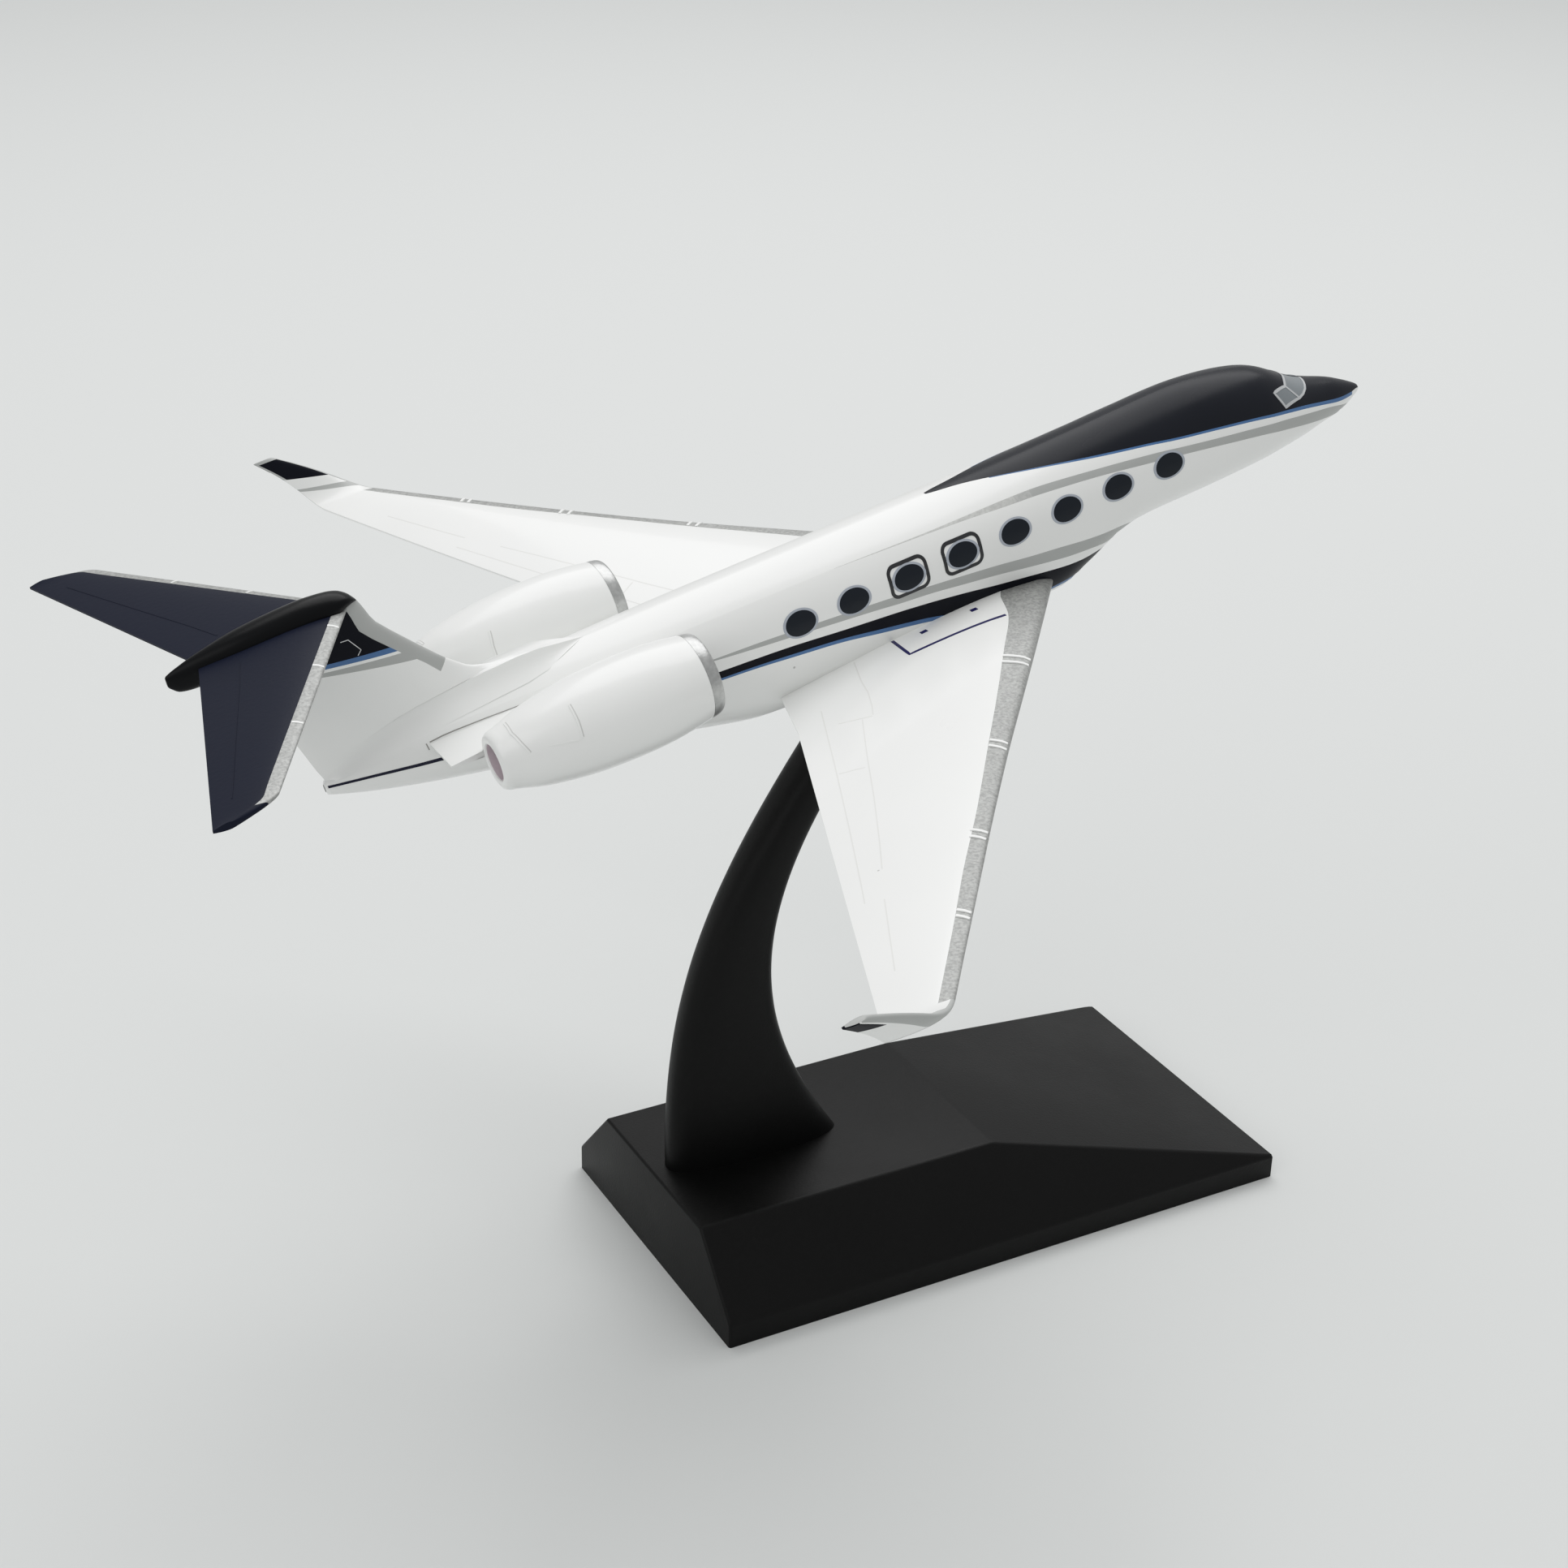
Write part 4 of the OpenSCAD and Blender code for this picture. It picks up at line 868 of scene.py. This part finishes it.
bars = [
    ((63.6, 19.1), (61.25, 20.85)), ((64.4, 20.2), (62.1, 21.8)), ((74.3, 33.5), (73.0, 34.75)),
    ((75.0, 34.4), (73.75, 35.7)), ((85.2, 47.3), (84.0, 48.5)), ((85.9, 48.3), (84.8, 49.45)),
    ((93.8, 58.9), (92.9, 59.9)), ((94.4, 59.7), (93.55, 60.7))]
hinge_lines = [
    [(83.08, 12.73), (87.8, 24.2), (92.9, 36.24), (97.73, 47.39), (99.18, 50.64)],
    [(81.16, 18.62), (84.69, 25.77), (88.5, 33.87), (92.67, 42.28), (94.92, 46.64)],
    [(97.54, 51.64), (100.13, 57.01), (103.15, 63.3)], [(83.3, 16.97), (81.48, 18.14), (80.07, 19.0)],
    [(88.45, 26.36), (86.06, 27.76)],
    [(75.4, 6.7), (77.0, 11.12), (77.81, 14.08), (79.09, 17.17), (79.92, 18.81)]]
# The silver bars are coloured near white, a painted highlight of the light they catch, the moulded
# lines are a painted shade just darker than the white, and the ink is a flat dark blue
bar_highlight_silver = finish("silver_bar_painted_highlight", "f3f4f2", 0.3, bump=0.3, shade=0.04)
groove_shade_tone = finish("painted_groove_shade", "dcdcd9", 0.4, shade=0.03)
line_blue = finish("printed_line_ink_blue", "1d1a50", 0.4, shade=0.05, shine=0.3)
# Raised silver bars whose near-white colour is a painted highlight
raised = [ribbon(on_wing, bar, 0.36, 0.12) for bar in bars]
# Moulded lines drawn as thin strips a little darker than the white: painted shade in their grooves
groove_shade_lines = [ribbon(on_wing, line, 0.15, 0.012) for line in hinge_lines]
root_lines = [ribbon(on_wing, [(70.2, 6.4), (70.5, 10.8), (58.3, 11.4)], 0.42, 0.03)]
root_lines += [ribbon(on_wing, [(s - 0.42, y), (s + 0.42, y)], 0.62, 0.03, step=0.1)
               for s, y in ((60.3, 7.9), (66.8, 7.7))]
number_faces(groove_shade_lines, 1)
number_faces(root_lines, 2)
wing_marks = merged(raised + groove_shade_lines + root_lines)
pair("wing_marks", wing_marks, [bar_highlight_silver, groove_shade_tone, line_blue])

# Engine pods. Turned-looking cowls moulded in white ABS and painted like the
# fuselage, open at both ends.
POD_X, POD_Y, POD_Z, POD_L, POD_D = 94.4, 11.4, 3.1, 25.6, 10.8
COWL_FRONT_D, EXHAUST_D, DUCT_D, LIP_DEPTH, FAN_DEPTH = 9.4, 6, 7.6, 1.7, 4.6
pod_profile = [
    [LIP_DEPTH, COWL_FRONT_D / 2], [POD_L * 0.13, mix(COWL_FRONT_D, POD_D, 0.4) / 2],
    [POD_L * 0.25, mix(COWL_FRONT_D, POD_D, 0.88) / 2], [POD_L * 0.4, POD_D / 2],
    [POD_L * 0.6, POD_D / 2 - 0.25], [POD_L * 0.8, mix(EXHAUST_D, POD_D, 0.56) / 2],
    [POD_L * 0.93, mix(EXHAUST_D, POD_D, 0.15) / 2], [POD_L, EXHAUST_D / 2]]


def turned(profile, steps=96):
    """Spins a profile of places along the pod and radii round the left pod's axis."""
    bm = bmesh.new()
    spots = [bm.verts.new((-POD_X - t, POD_Y, POD_Z + r)) for t, r in profile]
    for a, b in zip(spots, spots[1:]):
        bm.edges.new((a, b))
    bmesh.ops.spin(
        bm, geom=bm.verts[:] + bm.edges[:], cent=(-POD_X, POD_Y, POD_Z), axis=(1, 0, 0), dvec=(0, 0, 0),
        angle=2 * pi, steps=steps, use_merge=True, use_duplicate=False)
    bmesh.ops.remove_doubles(bm, verts=bm.verts, dist=1e-4)
    bmesh.ops.recalc_face_normals(bm, faces=bm.faces)
    return bm


MOUTH, MOUTH_R, HOLE_R = POD_L - 0.6, EXHAUST_D / 2 - 0.15, 2.05
cowl_line = [(LIP_DEPTH - 0.02, DUCT_D / 2 + 0.3), (LIP_DEPTH, COWL_FRONT_D / 2 - 0.05)]
for i in range(61):
    t = mix(LIP_DEPTH + 0.05, MOUTH - 0.6, i / 60)
    cowl_line.append((t, flow(pod_profile, t)))
cowl_line += [
    (MOUTH - 0.3, MOUTH_R + 0.22), (MOUTH - 0.13, MOUTH_R + 0.1), (MOUTH - 0.03, MOUTH_R - 0.08),
    (MOUTH, MOUTH_R - 0.3), (MOUTH - 0.01, HOLE_R + 0.2), (MOUTH - 0.06, HOLE_R + 0.06),
    (MOUTH - 0.16, HOLE_R), (MOUTH - 4.2, HOLE_R - 0.01), (MOUTH - 4.3, 1.9), (FAN_DEPTH + 1.2, 2.2),
    (FAN_DEPTH + 1.0, DUCT_D / 2 - 0.1), (LIP_DEPTH - 0.02, DUCT_D / 2 - 0.02),
    (LIP_DEPTH - 0.02, DUCT_D / 2 + 0.3)]
pair("nacelle_cowl", turned(cowl_line), [white_gloss], "nacelle")

# Cowl seams. Low ridges moulded round the cowls where the doors of a real
# engine meet, in the cowls' own white, with a grey shadow ahead of each.
WAY_R = 5


def on_cowl(t, w, out):
    """Point over the left cowl at a place along it and a way round, in millimetres at the radius WAY_R."""
    r = flow(pod_profile, t) + out
    return Vector((-POD_X - t, POD_Y + r * cos(w / WAY_R), POD_Z + r * sin(w / WAY_R)))


def seam(places, ahead=0.0, wide=0.2, out=0.08):
    """Line over the cowl through places given by length and degrees round it."""
    return ribbon(on_cowl, [(t - ahead, WAY_R * radians(a)) for t, a in places], wide, out)


seam_places = [
    [(22.78, 95), (22.87, 65), (22.51, 42), (22.1, 24)], [(16.5, 60), (16.51, 36.8), (16.67, 18)],
    [(16.14, 132), (16.49, 150.7), (16.55, 167)]]
ridges = [seam(places) for places in seam_places]
ridges.append(seam([(16.81, 15.6), (18.46, 19.1), (20.08, 22.9)], 0, 0.12, 0.04))
shades = [seam(places, 0.17, 0.14, 0.02) for places in seam_places]
number_faces(shades, 1)
# A rough pale grey, which reads as the shadow of the ridge behind it
seam_shade = finish("cowl_seam_shade_grey", "c6c6c4", 0.6, shade=0.06)
pair("cowl_seams", merged(ridges + shades), [white_gloss, seam_shade])

# Intake rings. Plastic rings, sprayed bright silver and pressed on the fronts
# of the cowls, with a round lip.
LIP_FRONT = 0.3
lip_line = []
for i in range(25):
    c, v = cos(pi * i / 24), sin(pi * i / 24)
    lip_line.append((mix(LIP_DEPTH, LIP_FRONT, v), mix(DUCT_D / 2, COWL_FRONT_D / 2, (1 + c) / 2)))
lip_line.append((LIP_DEPTH, COWL_FRONT_D / 2))
# Bright silver paint: the room shows in it as soft light and dark bands
ring_silver = finish("bright_silver_ring_paint", "b4b5b4", 0.34, bump=0.7, grain=0.5, shade=0.12,
                     metal=0.75, mottle=0.1)
pair("intake_ring", turned(lip_line), [ring_silver], "intake_lip")

# Fans. Grey plastic discs seen inside the intakes: a pointed hub and twisted
# blades in front of a plain disc.
# Dull mid grey plastic: the blades show by their shadows alone
fan_grey = finish("moulded_fan_grey", "85888a", 0.45, bump=0.2, shade=0.05)
FAN_R, BLADES = DUCT_D / 2 - 0.1, 16
hub = turned([(FAN_DEPTH + t, r) for t, r in (
    (-1.4, 0), (-1.36, 0.16), (-1.2, 0.38), (-0.8, 0.7), (-0.3, 0.97), (0, 1.08), (0.5, 1.1), (0.5, FAN_R),
    (1, FAN_R), (1, 0))], steps=48)
blade_rows = []
for i in range(9):
    r = mix(1.0, FAN_R - 0.12, i / 8)
    twist = radians(mix(28, 58, i / 8))
    blade_rows.append([
        Vector((-POD_X - FAN_DEPTH - 0.1 + c * cos(twist), POD_Y + c * sin(twist), POD_Z + r))
        for c in (-0.36, -0.18, 0, 0.18, 0.36)])
blade = loft(blade_rows)
bmesh.ops.solidify(blade, geom=blade.faces[:], thickness=0.09)
bmesh.ops.recalc_face_normals(blade, faces=blade.faces)
blades = [blade]
for i in range(1, BLADES):
    turned_blade = blade.copy()
    bmesh.ops.rotate(turned_blade, verts=turned_blade.verts, cent=(-POD_X, POD_Y, POD_Z),
                     matrix=Matrix.Rotation(2 * pi * i / BLADES, 3, "X"))
    blades.append(turned_blade)
pair("fan_disc", merged([hub] + blades), [fan_grey], "fan")

# Exhaust cups. Warm grey plastic cups pushed into the pods' rear ends, each
# with a blunt cone at the bottom.
# Dull pinkish grey plastic, which darkens softly towards the bottom of the cup
liner_grey = finish("moulded_liner_warm_grey", "c9bcc2", 0.5, bump=0.2, shade=0.05)
CUP_R = HOLE_R - 0.03
liner = turned([(MOUTH - t, r) for t, r in (
    (4.1, 0), (4.1, CUP_R), (0.2, CUP_R), (0.17, CUP_R - 0.04), (0.2, CUP_R - 0.08), (2.5, CUP_R - 0.1),
    (2.6, CUP_R - 0.2), (2.6, 1.1), (2.0, 0.5), (1.8, 0.35), (1.72, 0.2), (1.7, 0))], steps=64)
pair("exhaust_cup", liner, [liner_grey], "exhaust_liner")

# Pylons. Flat white arms moulded with a hollowed end, glued between the
# fuselage and each pod.
PYLON_FORE, PYLON_AFT, PYLON_THICK, PYLON_REAR_Y = POD_X + 0.254 * POD_L, POD_X + 1.121 * POD_L, 1.6, 8.95
pylon_steps = [0, 0.01, 0.03, 0.07, 0.13, 0.2, 0.3, 0.4, 0.5, 0.6, 0.7, 0.77, 0.81, 0.84, 0.88, 0.95, 1]


def cowl_side(s, z):
    """Distance from the middle at which a pylon ends: just inside the cowl, or free behind it."""
    r = flow(pod_profile, min(max(s - POD_X, LIP_DEPTH), POD_L)) - 0.15
    return PYLON_REAR_Y if s > POD_X + MOUTH - 0.3 else POD_Y - sqrt(r * r - (z - POD_Z) ** 2)


def pylon_row(share):
    """Closed section of the pylon at a share of its way out."""
    row = []
    for side, steps in ((-1, pylon_steps[::-1]), (1, pylon_steps[1:])):
        for u in steps:
            p = foil_point(u, side, 0, POD_Z, PYLON_FORE, PYLON_AFT - PYLON_FORE, PYLON_THICK)
            p.y = mix(2.5, cowl_side(-p.x, p.z), share)
            row.append(p)
    return row


pylon = tube([pylon_row(i / 10) for i in range(11)])
pair("pylon_moulding", pylon, [white_gloss], "pylon")

# Bullet fairing. Glossy black moulding that fits over the fin's top and takes
# the tailplane's stubs in its sides.
# Gloss black plastic: deep black with small soft highlights and hardly a speck
bullet_black = finish("gloss_black_abs", "08090b", 0.3, bump=0.15, shade=0.06, specks=0.2, shine=0.1)
BULLET_L, BULLET_W = 20.7, 4
BULLET_X = fin_aft(FIN_TOP_Z) - FIN_TOP_CHORD
# Share of the length, height of the top and the bottom over the fin, share of the width
bullet_form = [
    [0, 1.5, 1.42, 0.16], [0.03, 2.3, 1.35, 0.48], [0.075, 2.92, 1.1, 0.76], [0.15, 3.3, 0.2, 0.94],
    [0.3, 3.5, -0.4, 1], [0.6, 3.1, -0.5, 0.9], [0.82, 2.3, -1.1, 0.6], [0.95, 1.6, -0.9, 0.3],
    [1, 1.2, 0, 0.12]]
bullet_rows = []
for i in range(53):
    u = 0.5 - 0.5 * cos(pi * i / 52)
    draw_in = {0: 0.02, 52: 0.02, 51: 0.8, 50: 0.93}.get(i, 1)
    top, low, wide = (flow(bullet_form, u, k) for k in (1, 2, 3))
    bullet_rows.append([
        Vector((-BULLET_X - u * BULLET_L, wide * BULLET_W / 2 * draw_in * cos(a),
                FIN_TOP_Z + (top + low) / 2 + (top - low) / 2 * draw_in * sin(a)))
        for a in (2 * pi * k / 40 for k in range(40))])
piece("tail_bullet_fairing", tube(bullet_rows), [bullet_black], ["tail_bullet"])

# Tailplane halves. Navy mouldings glued by a stub in the bullet, their front
# edges sprayed silver, with a raised bar across the strip at each joint.
SPAN, STAB_ROOT, STAB_TIP, STAB_THICK = 63.2, 15.6, 6.6, 1.5
STAB_Y, STAB_Z = BULLET_W / 2, FIN_TOP_Z + 1.1
STAB_TIP_Y = SPAN / 2
ROUND_Y = STAB_TIP_Y - 2
STAB_START, STAB_SWEEP, TIP_CUT = 2.1, 31.4, 3.4
# Distance from the middle and width of the silver strip
stab_strip = [(0, 1.3), (2, 1.3), (8, 1.35), (16, 1.4), (24, 1.45), (29.6, 1.4), (31.6, 1.0)]


def stab_point(y, out=0):
    """Function that gives the tailplane's points at a distance from the middle."""
    cut = 0 if y <= ROUND_Y else TIP_CUT * ((y - ROUND_Y) / (STAB_TIP_Y - ROUND_Y)) ** 2
    fore = BULLET_X + STAB_START + (y - STAB_Y) * tan(radians(STAB_SWEEP)) + cut
    chord = mix(STAB_ROOT, STAB_TIP, (y - STAB_Y) / (ROUND_Y - STAB_Y)) - cut
    thick = mix(STAB_THICK, 0.7, y / STAB_TIP_Y)
    return lambda u, side: foil_point(u, side, y, STAB_Z, fore, chord, thick, 0, out)


def stab_chord(y):
    at = stab_point(y)
    return at(0, 1).x - at(1, 1).x


stab_places = [0.5, 1.2] + [mix(STAB_Y, ROUND_Y, i / 24) for i in range(25)]
stab_places += [mix(ROUND_Y, STAB_TIP_Y, i / 8) for i in range(1, 9)]
stab_rows = [section(stab_point(y), flow(stab_strip, y) / stab_chord(y)) for y in stab_places]
tip = stab_rows[-1]
middle = sum(tip, Vector()) / len(tip)
stab_rows.append([Vector(((p.x + middle.x * 0.1) / 1.1, p.y, (p.z + middle.z) / 2)) for p in tip])
silver_rows = len(stab_places) - 5
stab = tube(stab_rows, lambda i, k: 1 if (i < STRIP_END or i >= STRIP_BACK) and k < silver_rows else 0)
# Navy gloss paint with a slight ripple: almost black, blue only where the light falls on it
navy_paint = finish("navy_gloss_paint", "131726", 0.42, bump=0.35, shade=0.06, specks=0.12, shine=0.08)
pair("tailplane", stab, [navy_paint, silver_paint], "stabiliser")


def on_stab(s, y, out):
    at = stab_point(y, out)
    return at((s + at(0, 1).x) / stab_chord(y), 1)


# The tailplane's bars carry the same near-white painted highlight as the wing's
ribs = [ribbon(on_stab, [(s + 0.02, y - 0.02), (s + 0.92, y - 0.56)], 0.26, 0.07) for s, y in (
    (129.0, 4.1), (133.04, 10.7), (138.48, 19.6))]
ridge = ribbon(on_stab, [(139.4, 3.6), (140.9, 7.9), (144.0, 15.95), (148.5, 27.8)], 0.14, 0.035, step=1)
number_faces([ridge], 1)
pair("tailplane_marks", merged(ribs + [ridge]), [bar_highlight_silver, navy_paint])

# Arm. Satin black moulding, thick at its foot and slim under the jet, held by
# two screws from below, with a tongue that goes up into the jet's socket.
# Satin black plastic: its fine grain spreads the light into dull grey sheens along the curves
satin_black = finish("satin_black_abs", "090909", 0.42, bump=0.45, grain=0.3, shade=0.05, specks=0.1,
                     shine=0.13)
BASE_L, DECK_Z = 78, 11.9
HEEL_X, FOOT_L = -BASE_L / 2 + 2, 22.7
TOE_X = HEEL_X + FOOT_L
HEAD_HALF, HEAD_GAP, ARM_HALF_W, SQUARENESS = 4.8, 0.05, 3, 2.6
TONGUE_SIZE, TONGUE_MID = (6.4, 2.8, 9), 3.5
along = Vector((cos(radians(CLIMB)), 0, sin(radians(CLIMB))))
up = Vector((-sin(radians(CLIMB)), 0, cos(radians(CLIMB))))
arm_top = HEAD - up * HEAD_GAP


def rising(x, share):
    """Guide point of the arm's outline at x and at a share of the way up to its head."""
    return Vector((x, 0, mix(DECK_Z, HEAD.z, share)))


back_curve = [
    rising(HEEL_X, 0), rising(HEEL_X - 0.02 * FOOT_L, 0.42), rising(HEEL_X + 0.29 * FOOT_L, 0.6),
    arm_top - along * HEAD_HALF]
front_curve = [
    rising(TOE_X, 0), rising(TOE_X - 0.6 * FOOT_L, 0.32), rising(TOE_X - 0.65 * FOOT_L, 0.59),
    arm_top + along * HEAD_HALF]


def bend(c, t):
    """Point at a share t of a smooth curve with four guide points."""
    return (1 - t) ** 3 * c[0] + 3 * (1 - t) ** 2 * t * c[1] + 3 * (1 - t) * t * t * c[2] + t ** 3 * c[3]


arm_rows = []
for i in range(65):
    b, f = bend(back_curve, i / 64), bend(front_curve, i / 64)
    arm_rows.append([
        (b + f) / 2 + (f - b) / 2 * power(cos(a), 2 / SQUARENESS)
        + Vector((0, ARM_HALF_W * power(sin(a), 2 / SQUARENESS), 0))
        for a in (2 * pi * k / 56 for k in range(56))])
arm = tube(arm_rows)


def round_edges(bm, edges, r, segments):
    """Rounds edges of a shape."""
    bmesh.ops.bevel(bm, geom=edges, offset=r, affect="EDGES", segments=segments, profile=0.5, material=-1)


tongue = bmesh.new()
bmesh.ops.create_cube(tongue, size=1)
bmesh.ops.scale(tongue, vec=TONGUE_SIZE, verts=tongue.verts)
round_edges(tongue, tongue.edges[:], 0.3, 3)
tongue_place = millimetres.inverted() @ flight @ Matrix.Translation((-SEAT_X, 0, TONGUE_MID - SEAT_Z))
bmesh.ops.transform(tongue, matrix=tongue_place, verts=tongue.verts)
arm = merged([arm, tongue])
piece("curved_arm", arm, [satin_black], ["stand_arm"], "stand", millimetres)

# Base. One hollow satin black moulding: a low upright wall, slanted sides and
# a level deck that runs down to the front. A foam pad lies in its rim below.
BASE_W, WALL_H, DECK_INSET, DECK_L = 41.2, 3.2, 7.8, 40
RIM, RECESS = 1, 1.05
base = bmesh.new()
bmesh.ops.create_cube(base, size=1)
bmesh.ops.scale(base, vec=(BASE_L, BASE_W, WALL_H), verts=base.verts)
bmesh.ops.translate(base, vec=(0, 0, WALL_H / 2), verts=base.verts)
base.normal_update()
upper = [f for f in base.faces if f.normal.z > 0.9]
deck = bmesh.ops.extrude_face_region(base, geom=upper)["geom"]
for v in (v for v in deck if isinstance(v, bmesh.types.BMVert)):
    v.co = Vector((-BASE_L / 2 if v.co.x < 0 else DECK_L - BASE_L / 2,
                   (BASE_W / 2 - DECK_INSET) * (1 if v.co.y > 0 else -1), DECK_Z))
bmesh.ops.delete(base, geom=upper, context="FACES_KEEP_BOUNDARY")
bmesh.ops.dissolve_limit(base, angle_limit=radians(0.5), verts=base.verts, edges=base.edges)
under = [f for f in base.faces if f.normal.z < -0.9]
bmesh.ops.inset_region(base, faces=under, thickness=RIM)
bmesh.ops.translate(base, verts=list({v for f in under for v in f.verts}), vec=(0, 0, RECESS))
outer = [e for e in base.edges if max(v.co.z for v in e.verts) > WALL_H / 2]
round_edges(base, outer, 0.35, 4)
bmesh.ops.recalc_face_normals(base, faces=base.faces)
piece("sloped_base", base, [satin_black], ["stand_base"], "stand", millimetres, crease=20)

# Screws, pad and socket. Steel screws, a stamped foam sheet and a moulded
# sleeve, small and hidden, which keep their CAD shapes.
# Bright turned steel with a clear sheen, and open foam with no shine at all
screw_steel = finish("bright_screw_steel", "b8babd", 0.3, bump=0.15, shade=0.05, metal=1.0)
foam_black = finish("black_foam_pad", "202020", 0.9, bump=1.0, grain=0.4, shade=0.15)
for name, material in (("arm_screws", screw_steel), ("base_pad", foam_black), ("stand_socket", satin_black)):
    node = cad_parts[name]
    node.data.materials.clear()
    node.data.materials.append(material)
